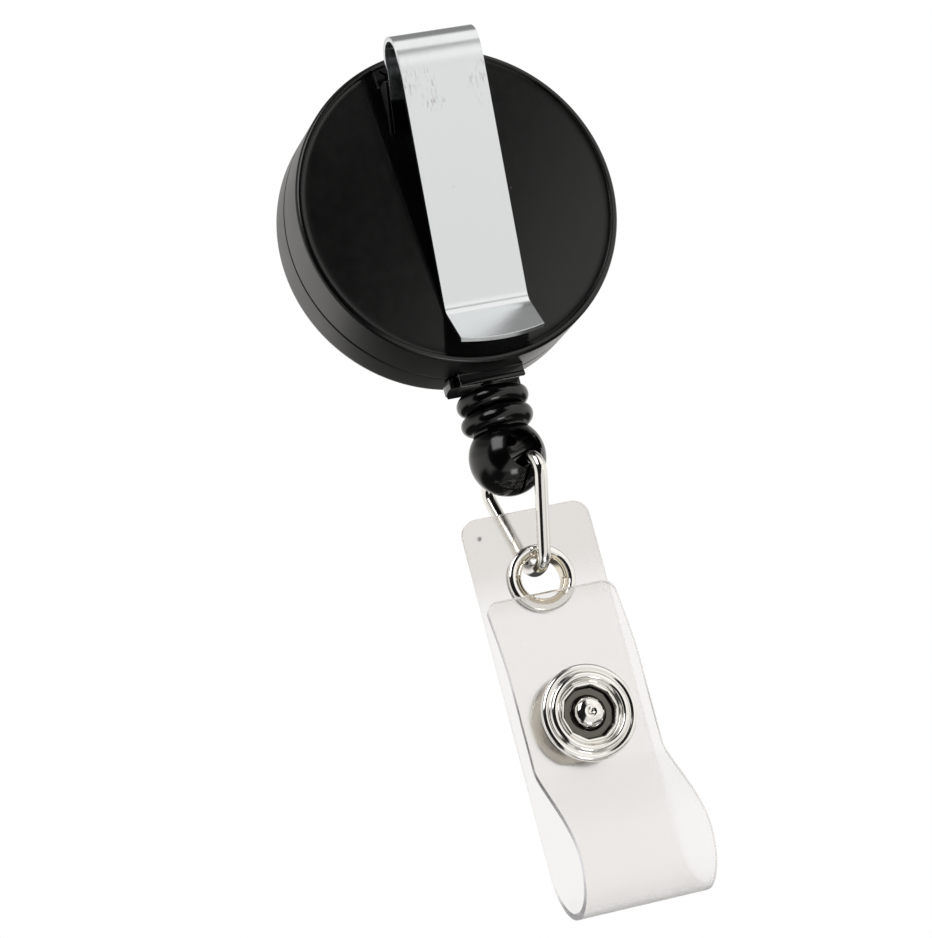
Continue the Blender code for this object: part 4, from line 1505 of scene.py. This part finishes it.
# --- stopper and link ----------------------------------------------------------------------
@dataclass
class RibbedStopper:
    """The moulded stopper: a stem, two fat ribs and a ball with a cross hole and a slit."""

    at: Layout
    turn: float = math.radians(16)
    ribs: tuple[float, float] = (5.8 * MM, 3.8 * MM)
    rib_radius: float = 3.6 * MM
    rib_thick: float = 1.0 * MM
    neck: float = 2.4 * MM
    stem: float = 1.2 * MM
    bore: float = 0.55 * MM
    hole: float = 1.7 * MM
    pocket: float = 1.25 * MM

    def profile(self) -> list[Pair]:
        """(radius, height above the ball's centre), from the stem down and up the bore.

        Returns:
            The profile's points.
        """
        top = self.at.stopper_top - self.at.ball.z
        ball = self.at.ball_radius
        points: list[Pair] = [(self.bore, top), (self.stem, top)]
        for index, height in enumerate(self.ribs):
            centre = (self.rib_radius - self.rib_thick, height)
            points += arc(centre, self.rib_thick, 88, -70, 16)
            if index == 0:
                points.append((self.neck + 0.35 * MM, height - self.rib_thick))
        meet = math.degrees(math.acos((self.neck + 0.15 * MM) / ball))
        points.append((self.neck + 0.2 * MM, ball * math.sin(math.radians(meet)) + 0.12 * MM))
        points += arc((0.0, 0.0), ball, meet - 1, -88, 40)
        points += [(0.0, -ball)]
        return points

    def lumps(self, angle: float, radius: float, level: float) -> Pair:
        """The slight unevenness of the ribs.

        Args:
            angle: the angle round the axis, in radians.
            radius: the point's radius.
            level: the point's level.

        Returns:
            The moved (radius, level).
        """
        if level < self.ribs[1] - 1.2 * MM or radius < self.neck:
            return (radius, level)
        sway = 0.05 * MM * math.sin(2 * angle + 0.7 + level * 900)
        swell = 0.04 * MM * math.sin(3 * angle + 1.9 - level * 600)
        return (radius + swell - 0.03 * MM, level + sway)

    def slit(self) -> bpy.types.Object:
        """The cutter of the curved slit from the cross hole to the ball's bottom.

        Returns:
            The cutter.
        """
        ball = self.at.ball_radius
        half = 0.13 * MM
        depth = 0.55 * MM
        rings = []
        for step in range(17):
            t = step / 16
            fall = math.radians(-22 - 62 * t)
            swing = math.radians(-86 - 10 * math.sin(math.pi * t))
            out = Vector(
                (math.cos(fall) * math.cos(swing), math.cos(fall) * math.sin(swing), math.sin(fall))
            )
            side = Vector((-math.sin(swing), math.cos(swing), 0.0))
            ring = []
            deep, proud = ball - depth, ball + 0.4 * MM
            for reach, way in ((deep, -1), (proud, -1), (proud, 1), (deep, 1)):
                width = half * (0.4 if reach < ball else 1.6)
                ring.append(out * reach + side * way * width)
            rings.append(ring)
        return skin("slit", rings)

    def cavity(self) -> bpy.types.Object:
        """The cutter of the knot's pocket and the cord's bore.

        Returns:
            The cutter.
        """
        low = -0.85 * MM
        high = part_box("cord_end_knot")[1].z - self.at.ball.z + 0.2 * MM
        top = self.at.stopper_top - self.at.ball.z + MM
        profile = [
            (0.0, low),
            (self.pocket, low),
            (self.pocket, high - 0.2 * MM),
            (self.bore, high),
            (self.bore, top),
            (0.0, top),
        ]
        return turned("cavity", profile, (0.0, 0.0, 0.0), Axis.UP, 48)

    def cross_hole(self) -> bpy.types.Object:
        """The cutter of the cross hole, flared at both mouths.

        Returns:
            The cutter.
        """
        flare = []
        for radius, level in (
            (self.hole + 2.6 * MM, 5.0 * MM),
            (self.hole + 0.62 * MM, 3.5 * MM),
            (self.hole + 0.16 * MM, 3.02 * MM),
            (self.hole, 2.5 * MM),
        ):
            flare.append((radius, level))
        mirrored = [(radius, -level) for radius, level in reversed(flare)]
        profile = [(0.0, 5.0 * MM), *flare, *mirrored, (0.0, -5.0 * MM)]
        return turned("cross_hole", profile, (0.0, 0.0, 0.0), Axis.DEPTH, 64)

    def build(self) -> bpy.types.Object:
        """Builds and dresses the stopper.

        Returns:
            The stopper.
        """
        outside = self.profile()
        solid = [(0.0, outside[0][1]), *outside[1:]]
        stopper = turned(
            "ribbed_stopper", solid, (0.0, 0.0, 0.0), Axis.UP, 128, change=self.lumps
        )
        combine(stopper, Cut.REMOVE, self.cavity(), self.cross_hole(), self.slit())
        place = Matrix.Translation(self.at.ball) @ Matrix.Rotation(self.turn, 4, "Z")
        stopper.data.transform(place)
        black = BlackMoulding("black_stopper", self.at.axis_z, 0.0, 0.13, side_sheen=False)
        wear(stopper, black.make())
        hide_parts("stopper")
        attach(stopper, Body.STOPPER.value)
        return stopper


@dataclass
class WireLink:
    """The closed loop of bright wire between the ball and the eyelet."""

    at: Layout
    wire: float = 0.65 * MM
    half_width: float = 4.75 * MM
    top_corner: float = 1.6 * MM
    tip_radius: float = 2.0 * MM
    turn: float = math.radians(16)

    def route(self) -> list[Vector]:
        """The loop's middle line in its own plane: across, and up from its tip's centre.

        Returns:
            The line's points.
        """
        top = self.at.link_high.z - self.wire
        bottom = self.at.link_low.z + self.wire
        drop = bottom - top
        run = -drop - self.top_corner - self.tip_radius
        lean = math.degrees(math.atan2(self.half_width - self.tip_radius, run))
        corner = (self.half_width - self.top_corner, -self.top_corner)
        half = [
            *arc(corner, self.top_corner, 90, -lean, 14),
            *arc((0.0, drop + self.tip_radius), self.tip_radius, -lean, -90, 16),
        ]
        straight = half[14], half[15]
        middle = []
        for step in range(1, 12):
            t = step / 12
            middle.append(tuple(straight[0][i] * (1 - t) + straight[1][i] * t for i in (0, 1)))
        half = [(0.0, 0.0), (corner[0] * 0.5, 0.0), *half[:15], *middle, *half[15:]]
        other = [(-across, height) for across, height in half[-2:0:-1]]
        points = [Vector((0.0, across, height)) for across, height in half + other]
        place = Matrix.Translation((0.0, self.at.seam_y, top)) @ Matrix.Rotation(self.turn, 4, "Z")
        return [place @ point for point in points]

    def build(self) -> bpy.types.Object:
        """Builds and dresses the link.

        Returns:
            The link.
        """
        link = tube("link_wire", self.route(), self.wire, 32, loop=True)
        wear(link, WarmNickel("link_nickel", roughness=0.07, thin=0.12).make())
        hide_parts("wire_link")
        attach(link, Body.LINK.value)
        return link


# --- strap ---------------------------------------------------------------------------------
@dataclass
class VinylStrap:
    """One folded strip of clear vinyl, from the back layer's top round the fold to the flap."""

    at: Layout
    top_corner: float = 1.6 * MM
    flap_corner: float = 1.2 * MM
    edge: float = 0.09 * MM
    snap_hole: float = 1.3 * MM
    eye_hole: float = 2.4 * MM

    def route(self) -> list[Pair]:
        """The strip's middle line as (y, z).

        Returns:
            The line's points.
        """
        at = self.at
        front = at.fold_y - at.fold_radius
        fold = arc((at.fold_y, at.fold_z), at.fold_radius, 0, -180, 48)
        pinch = at.snap_z + 4.6 * MM
        release = at.snap_z - 4.3 * MM
        top = (at.rim_y + 4.1 * MM, at.flap_top)
        swell = curve(
            (front, at.fold_z),
            (front, at.fold_z + 3.2 * MM),
            (at.flap_y - 0.25 * MM, release - 1.5 * MM),
            (at.flap_y, release),
            30,
        )
        rise = curve(
            (at.flap_y, pinch),
            (at.flap_y, pinch + 2.0 * MM),
            (top[0] - 0.6 * MM, top[1] - 2.3 * MM),
            top,
            16,
        )
        return [(at.strap_y, at.strap_top), *fold, *swell[1:], *rise]

    def hole(self, radius: float, y: float, z: float) -> bpy.types.Object:
        """The cutter of a round hole through one layer.

        Args:
            radius: the hole's radius.
            y: the layer's depth.
            z: the hole's height.

        Returns:
            The cutter.
        """
        reach = 1.0 * MM
        profile = [(0.0, -reach), (radius, -reach), (radius, reach), (0.0, reach)]
        return turned("hole", profile, (0.0, y, z), steps=48)

    def build(self) -> bpy.types.Object:
        """Builds and dresses the strap.

        Returns:
            The strap.
        """
        at = self.at
        strip = Strip(self.route(), 0.3 * MM)
        strap = strip.build(
            "vinyl_strap",
            at.strap_half,
            at.vinyl,
            tuple(corner_trim(at.strap_half, r) for r in (self.top_corner, self.flap_corner)),
            self.edge,
            columns=40,
        )
        holes = (
            self.hole(self.eye_hole, at.eye.y, at.eye.z),
            self.hole(self.snap_hole, at.strap_y, at.snap_z),
            self.hole(self.snap_hole, at.flap_y, at.snap_z),
        )
        combine(strap, Cut.REMOVE, *holes)
        speck = (-4.9 * MM, 0.0, at.strap_top - 1.9 * MM)
        # where the painted shade on the strip's left cut edge begins
        edge = at.strap_half - 0.02 * MM
        vinyl = ClearVinyl("strap_vinyl", speck, at.flap_top - 2 * MM, edge)
        wear(strap, vinyl.make())
        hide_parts("strap_back", "strap_flap")
        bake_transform(strap)
        return strap


@dataclass
class Eyelet:
    """The rolled eyelet: a domed washer in front, a split rolled barrel and a back flare."""

    at: Layout
    hole: float = 2.07 * MM
    barrel: float = 2.3 * MM
    radius: float = 3.4 * MM
    splits: int = 6

    def split(self, angle: float, radius: float, level: float) -> Pair:
        """Notches in the roll, where the barrel has split in setting.

        Args:
            angle: the angle round the axis, in radians.
            radius: the point's radius.
            level: the point's level.

        Returns:
            The moved (radius, level).
        """
        inner = radius < 2.44 * MM and level < -0.45 * MM
        if not inner:
            return (radius, level)
        phase = angle * self.splits / (2 * math.pi) + 0.3 * math.sin(2 * angle + 1.0)
        near = abs(phase - round(phase)) / self.splits * 2 * math.pi
        notch = math.exp(-((near / 0.035) ** 2))
        return (radius + 0.03 * MM * notch, level + 0.22 * MM * notch)

    def build(self) -> bpy.types.Object:
        """Builds and dresses the eyelet.

        Returns:
            The eyelet.
        """
        profile = rounded(
            [
                (self.barrel, -0.1 * MM, 0),
                (self.barrel, -0.38 * MM, 0),
                (3.25 * MM, -0.38 * MM, 0.03 * MM),
                (self.radius, -0.48 * MM, 0.12 * MM),
                (3.32 * MM, -0.78 * MM, 0.22 * MM),
                (3.0 * MM, -0.93 * MM, 0.3 * MM),
                (2.66 * MM, -0.88 * MM, 0.14 * MM),
                (2.5 * MM, -0.62 * MM, 0.05 * MM),
                (2.44 * MM, -0.62 * MM, 0.04 * MM),
                (2.38 * MM, -0.80 * MM, 0.1 * MM),
                (2.22 * MM, -0.88 * MM, 0.12 * MM),
                (2.1 * MM, -0.78 * MM, 0.16 * MM),
                (self.hole, -0.3 * MM, 0.3 * MM),
                (self.hole, 0.35 * MM, 0.25 * MM),
                (2.16 * MM, 0.68 * MM, 0.25 * MM),
                (2.6 * MM, 0.82 * MM, 0.3 * MM),
                (3.1 * MM, 0.78 * MM, 0.3 * MM),
                (3.3 * MM, 0.5 * MM, 0.1 * MM),
                (3.2 * MM, 0.38 * MM, 0),
                (self.barrel, 0.38 * MM, 0),
                (self.barrel, 0.1 * MM, 0),
            ],
            6,
        )
        ring = turned("eyelet_ring", profile, self.at.eye, steps=144, change=self.split)
        metal = WarmNickel("eyelet_nickel", tuple(self.at.eye), 2.45 * MM, 0.08, 0.12)
        wear(ring, metal.make())
        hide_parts("eyelet")
        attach(ring, Body.STRAP.value)
        return ring


@dataclass
class SnapFastener:
    """The press snap: ringed cap and socket on the flap, stud and domed post on the back."""

    at: Layout
    facets: int = 10

    def crimp(self, angle: float, radius: float, level: float) -> Pair:
        """The many-sided crimp inside the cap's well.

        Args:
            angle: the angle round the axis, in radians.
            radius: the point's radius.
            level: the point's level.

        Returns:
            The moved (radius, level).
        """
        sharp_from, sharp_to = 2.1 * MM, 3.05 * MM
        if not sharp_from < radius < sharp_to:
            return (radius, level)
        turn = 2 * math.pi / self.facets
        local = (angle % turn) - turn / 2
        flat = math.cos(turn / 2) / math.cos(local)
        share = 1 - abs(radius - 2.55 * MM) / (0.5 * MM)
        return (radius * (1 + (flat - 0.97) * max(0.0, share)), level)

    def pieces(self) -> list[tuple]:
        """Each piece: its name, node, body, depth, profile and shaping.

        Returns:
            One plan for each of the four pieces.
        """
        skin_gap = 0.38 * MM
        cap = [
            (0.0, 0.5 * MM, 0),
            (1.1 * MM, 0.5 * MM, 0),
            (1.1 * MM, -skin_gap, 0),
            (4.4 * MM, -skin_gap, 0.05 * MM),
            (4.7 * MM, -0.55 * MM, 0.15 * MM),
            (4.66 * MM, -0.95 * MM, 0.3 * MM),
            (4.3 * MM, -1.16 * MM, 0.3 * MM),
            (3.98 * MM, -1.0 * MM, 0.1 * MM),
            (3.72 * MM, -1.38 * MM, 0.34 * MM),
            (3.3 * MM, -1.44 * MM, 0.34 * MM),
            (2.98 * MM, -0.95 * MM, 0.08 * MM),
            (2.86 * MM, -0.92 * MM, 0.04 * MM),
            (2.78 * MM, -1.04 * MM, 0.05 * MM),
            (2.6 * MM, -1.04 * MM, 0.05 * MM),
            (2.48 * MM, -0.8 * MM, 0.05 * MM),
            (2.36 * MM, -0.42 * MM, 0.06 * MM),
            (1.75 * MM, -0.42 * MM, 0.06 * MM),
            (1.6 * MM, -0.6 * MM, 0.12 * MM),
            (1.5 * MM, -1.0 * MM, 0.3 * MM),
            (1.15 * MM, -1.38 * MM, 0.35 * MM),
            (0.6 * MM, -1.5 * MM, 0.2 * MM),
            (0.36 * MM, -1.46 * MM, 0.06 * MM),
            (0.22 * MM, -1.3 * MM, 0.08 * MM),
            (0.0, -1.27 * MM, 0),
        ]
        socket = [
            (1.75 * MM, 1.68 * MM, 0),
            (2.05 * MM, 1.78 * MM, 0.12 * MM),
            (2.5 * MM, 1.76 * MM, 0.2 * MM),
            (3.0 * MM, 1.52 * MM, 0.3 * MM),
            (3.7 * MM, 1.2 * MM, 0.3 * MM),
            (4.2 * MM, 0.9 * MM, 0.2 * MM),
            (4.28 * MM, 0.5 * MM, 0.06 * MM),
            (4.2 * MM, skin_gap, 0),
            (1.2 * MM, skin_gap, 0),
            (1.2 * MM, 0.6 * MM, 0),
            (1.7 * MM, 0.62 * MM, 0.1 * MM),
            (1.78 * MM, 1.1 * MM, 0.2 * MM),
        ]
        stud = [
            (1.18 * MM, -skin_gap, 0),
            (3.3 * MM, -skin_gap, 0.04 * MM),
            (3.4 * MM, -0.5 * MM, 0.06 * MM),
            (3.1 * MM, -0.68 * MM, 0.15 * MM),
            (1.75 * MM, -0.78 * MM, 0.2 * MM),
            (1.4 * MM, -1.15 * MM, 0.2 * MM),
            (1.5 * MM, -1.7 * MM, 0.15 * MM),
            (1.38 * MM, -2.08 * MM, 0.12 * MM),
            (1.18 * MM, -2.1 * MM, 0),
        ]
        post = [
            (0.0, 0.62 * MM, 0),
            (2.2 * MM, 0.66 * MM, 0.3 * MM),
            (2.9 * MM, 0.92 * MM, 0.25 * MM),
            (3.35 * MM, 1.16 * MM, 0.2 * MM),
            (4.0 * MM, 1.2 * MM, 0.25 * MM),
            (4.5 * MM, 1.0 * MM, 0.25 * MM),
            (4.7 * MM, 0.7 * MM, 0.15 * MM),
            (4.6 * MM, skin_gap, 0.05 * MM),
            (1.1 * MM, skin_gap, 0),
            (1.1 * MM, -2.0 * MM, 0.1 * MM),
            (0.0, -2.0 * MM, 0),
        ]
        flap, strap = self.at.flap_y, self.at.strap_y
        return [
            ("snap_ring", "snap_cap", Body.FLAP, flap, cap, self.crimp),
            ("snap_socket_dome", "snap_socket", Body.FLAP, flap, socket, None),
            ("snap_stud_nose", "snap_stud", Body.STRAP, strap, stud, None),
            ("snap_back_ring", "snap_post", Body.STRAP, strap, post, None),
        ]

    def build(self) -> list[bpy.types.Object]:
        """Builds and dresses the four pieces.

        Returns:
            The four pieces.
        """
        centre = (0.0, 0.0, self.at.snap_z)
        # the cap's well: its radius and the depth past which painted shade darkens it
        well = (2.5 * MM, self.at.flap_y - 0.75 * MM)
        metal = WarmNickel("snap_nickel", centre, 0.0, 0.08, 0.15, well).make()
        plain = WarmNickel("snap_back_nickel", roughness=0.10, thin=0.3).make()
        made = []
        for name, node, body, depth, corners, change in self.pieces():
            where = (0.0, depth, self.at.snap_z)
            piece = turned(name, rounded(corners, 6), where, steps=160, change=change)
            wear(piece, metal if node == "snap_cap" else plain)
            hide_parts(node)
            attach(piece, body.value)
            made.append(piece)
        return made


# --- cord and reel -------------------------------------------------------------------------
@dataclass
class CordReel:
    """The wound cord, its knots, the lead to the stopper and the parts that wind it."""

    at: Layout
    cord: float = 0.4 * MM
    layers: int = 3
    turns: int = 3
    per_turn: int = 40
    throat_drop: float = 14.9 * MM

    def winding(self) -> bpy.types.Object:
        """The cord in its turns on the spool, side by side and layer on layer.

        Returns:
            The wound cord.
        """
        low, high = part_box("cord_winding")
        outer = (high.x - low.x) / 2
        inner = outer - self.layers * 2 * self.cord - 0.05 * MM
        pitch = 2 * self.cord
        route = []
        total = self.layers * self.turns * self.per_turn
        for step in range(total + 1):
            turn = step / self.per_turn
            layer = min(self.layers - 1, int(turn // self.turns))
            across = turn - layer * self.turns
            ease = max(0.0, min(1.0, (across % 1.0 - 0.8) / 0.2))
            column = min(self.turns - 1, int(across) + ease * (int(across) < self.turns - 1))
            if layer % 2:
                column = self.turns - 1 - column
            climb = ease if int(across) == self.turns - 1 and layer < self.layers - 1 else 0.0
            radius = inner + self.cord + (layer + climb) * pitch * 0.97
            angle = 2 * math.pi * turn
            y = self.at.seam_y + (column - (self.turns - 1) / 2) * pitch
            z = self.at.axis_z + radius * math.sin(angle)
            route.append(Vector((radius * math.cos(angle), y, z)))
        return tube("wound_cord", route, self.cord * 0.98, 10)

    def knot(self, name: str, node: str, seed: int) -> bpy.types.Object:
        """A pulled-tight knot: a lump with crossing strands.

        Args:
            name: the piece's name.
            node: the CAD node that it stands for.
            seed: turns the strands.

        Returns:
            The knot.
        """
        low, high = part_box(node)
        centre = (low + high) / 2
        size = (high.x - low.x) / 2
        rings = []
        rows, columns = 24, 40
        for row in range(rows + 1):
            lat = math.pi * row / rows - math.pi / 2
            ring = []
            for column in range(1 if row in (0, rows) else columns):
                lon = 2 * math.pi * column / columns
                strands = abs(math.sin(1.5 * lon + 2.2 * math.sin(lat) + seed))
                proud = 0.19 * strands**0.5 * math.cos(lat) ** 0.5 if row % rows else 0.0
                level = math.cos(lat)
                point = Vector((level * math.cos(lon), level * math.sin(lon), math.sin(lat)))
                ring.append(centre + point * size * (0.80 + proud))
            rings.append(ring)
        return skin(name, rings)

    def lead(self) -> bpy.types.Object:
        """The cord from the winding down through the exit block to the knot.

        Returns:
            The lead.
        """
        low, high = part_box("cord_lead")
        throat = self.at.axis_z - self.throat_drop
        start = Vector((high.x - self.cord * 0.9, self.at.seam_y, high.z - self.cord * 0.5))
        points = curve(
            (start.x, start.z),
            (start.x - 3.6 * MM, start.z - 1.5 * MM),
            (0.0, throat + 1.2 * MM),
            (0.0, throat),
            16,
        )
        count = 60
        for step in range(1, count + 1):
            points.append((0.0, throat + (low.z - throat) * step / count))
        route = [Vector((x, self.at.seam_y, z)) for x, z in points]
        return tube("cord_lead_braid", route, self.cord, 16)

    def build(self) -> list[bpy.types.Object]:
        """Builds and dresses the cord, and dresses the reel's inner parts.

        Returns:
            All the dressed pieces.
        """
        braid = BraidedCord("cord_braid").make()
        plan = (
            (self.winding(), "cord_winding", Body.SPOOL),
            (self.knot("cord_inner_knot", "cord_anchor_knot", 1), "cord_anchor_knot", Body.SPOOL),
            (self.knot("cord_outer_knot", "cord_end_knot", 2), "cord_end_knot", Body.CORD_END),
        )
        made = []
        for piece, node, body in plan:
            wear(piece, braid)
            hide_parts(node)
            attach(piece, body.value)
            made.append(piece)
        lead = wear(self.lead(), braid)
        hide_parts("cord_lead")
        throat = self.at.axis_z - self.throat_drop
        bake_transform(lead)
        made.append(lead)
        natural = SatinPlastic("spool_plastic", (0.75, 0.74, 0.70)).make()
        inner = {
            "spool": natural,
            "spring_cover": natural,
            "power_spring": BluedSteel("power_spring_steel").make(),
            "axle_post": WarmNickel("post_nickel", roughness=0.2, thin=0.2).make(),
        }
        for node, material in inner.items():
            piece = frame["nodes"][node]
            piece.data.materials.clear()
            piece.data.materials.append(material)
            made.append(piece)
        return made


# --- studio --------------------------------------------------------------------------------
@dataclass
class Studio:
    """Camera, pale surroundings, soft lights and a plain pale floor."""

    at: Layout
    azimuth: float = math.radians(-18.28)
    elevation: float = math.radians(-11.84)
    roll: float = math.radians(-14.8)
    distance: float = 344.63 * MM
    slide: Pair = (-0.70 * MM, 25.53 * MM)
    lens: float = 137.63
    floor_z: float = -0.78
    floor_half: float = 0.4
    sensor: float = 36.0
    clip_range: Pair = (0.01, 20.0)

    def camera(self) -> None:
        """Places the camera on the fitted sight line, rolled with the object's lean."""
        a, e, r = self.azimuth, self.elevation, self.roll
        back = Vector((math.sin(a) * math.cos(e), -math.cos(a) * math.cos(e), math.sin(e)))
        right = Vector((math.cos(a), math.sin(a), 0.0))
        up = back.cross(right)
        across = right * math.cos(r) + up * math.sin(r)
        upward = up * math.cos(r) - right * math.sin(r)
        place = back * self.distance - across * self.slide[0] - upward * self.slide[1]
        place += Vector((0.0, self.at.rim_y, self.at.axis_z))
        data = bpy.data.cameras.new("camera")
        data.lens = self.lens
        data.sensor_width = self.sensor
        data.clip_start, data.clip_end = self.clip_range
        camera = bpy.data.objects.new("camera", data)
        rows = Matrix((across, upward, back)).transposed().to_4x4()
        camera.matrix_world = Matrix.Translation(place) @ rows
        bpy.context.scene.collection.objects.link(camera)
        bpy.context.scene.camera = camera

    def surroundings(self) -> None:
        """A pale tent: white behind, a dark opening in front and a bright lower right."""
        world = bpy.data.worlds.new("studio")
        bpy.context.scene.world = world
        world.use_nodes = True
        g = Graph(world.node_tree)
        world.node_tree.nodes.clear()
        way = g.node("TexCoord", output="Generated")
        front_back = g.axis(way, "Y")
        height = g.axis(way, "Z")
        across = g.axis(way, "X")
        opening = g.along(way, self.facing(-15, 5)).fade(0.45, 0.56)
        lower_right = g.along(way, (0.7047, 0.0557, -0.6814)).fade(-0.013, 0.019)
        window = across.fade(0.12, 0.26) * height.fade(0.28, 0.42)
        window = window * front_back.fade(-0.08, -0.34)
        behind = front_back.fade(-0.1, 0.3)
        low = (behind * height.fade(-0.08, -0.30)).larger(height.fade(-0.35, -0.60))
        tent = 1.0 - 0.3 * height.fade(0.22, 0.42) - 0.42 * height.fade(0.50, 0.66) - 0.93 * low
        dark = opening * (1.0 - lower_right)
        right = 0.88 + 0.25 * height.fade(-0.15, -0.02)
        light = tent * (1.0 - lower_right * opening) + right * lower_right * opening
        light = light * (1.0 - dark) + 0.012 * dark
        light = light * (1.0 - window) + 1.15 * window
        seen = g.node("LightPath", output="Is Camera Ray")
        through = g.node("LightPath", output="Is Transmission Ray")
        plain = seen.larger(through)
        strength = light * (1 - plain) + plain
        tint = g.blend(plain, (1.0, 0.985, 0.96, 1.0), (1.0, 1.0, 1.0, 1.0))
        shine = g.node("Background", None, {"Color": tint, "Strength": strength})
        out = g.tree.nodes.new("ShaderNodeOutputWorld")
        g.feed(out.inputs["Surface"], shine)

    @staticmethod
    def facing(azimuth: float, elevation: float) -> tuple[float, float, float]:
        """The direction at an azimuth from straight ahead of the clip side, and an elevation.

        Args:
            azimuth: the azimuth, in degrees.
            elevation: the elevation, in degrees.

        Returns:
            The direction.
        """
        a, e = math.radians(azimuth), math.radians(elevation)
        return (math.sin(a) * math.cos(e), -math.cos(a) * math.cos(e), math.sin(e))

    def lamp(self, name: str, way: Pair, distance: float, size: Pair, radiance: float) -> None:
        """A soft rectangular light aimed at the ball.

        Args:
            name: the light's name.
            way: its azimuth and elevation, in degrees.
            distance: how far it stands.
            size: its width and height.
            radiance: how bright its surface looks.
        """
        data = bpy.data.lights.new(name, "AREA")
        data.shape = "RECTANGLE"
        data.size, data.size_y = size
        data.energy = radiance * math.pi * size[0] * size[1]
        lamp = bpy.data.objects.new(name, data)
        direction = Vector(self.facing(*way))
        lamp.location = self.at.ball + direction * distance
        lamp.rotation_mode = "QUATERNION"
        lamp.rotation_quaternion = direction.to_track_quat("Z", "Y")
        bpy.context.scene.collection.objects.link(lamp)

    def floor(self) -> None:
        """A plain pale sheet far below the hanging reel."""
        form = bmesh.new()
        bmesh.ops.create_grid(form, x_segments=8, y_segments=8, size=self.floor_half)
        floor = finish_mesh("floor", form)
        floor.location.z = self.floor_z
        g = Dressing("pale_floor")
        grain = g.noise(g.place(), 40.0, 3.0)
        colour = g.blend(grain, grey(0.84), grey(0.88))
        floor.data.materials.append(g.surface(base_color=colour, roughness=0.7))

    def build(self) -> None:
        """Sets the stage."""
        bpy.context.scene.view_settings.view_transform = "Standard"
        self.camera()
        self.surroundings()
        self.lamp("window_light", (-41, 41), 0.5, (0.26, 0.34), 3.6)
        self.lamp("low_light", (-4, -56), 0.4, (0.12, 0.10), 5.5)
        self.floor()


def main() -> None:
    """Builds the studio and every sub-assembly in order."""
    logging.basicConfig(level=logging.INFO, format="%(name)s %(message)s")
    at = Layout()
    Studio(at).build()
    shells = CaseShells(at)
    pieces = [*shells.build(), ExitBlock(at).build(), BeltClip(at, shells).build()]
    pieces += CordReel(at).build()
    pieces += [RibbedStopper(at).build(), WireLink(at).build(), VinylStrap(at).build()]
    pieces += [Eyelet(at).build(), *SnapFastener(at).build()]
    for piece in pieces:
        report(piece)


if __name__ == "__main__":
    main()
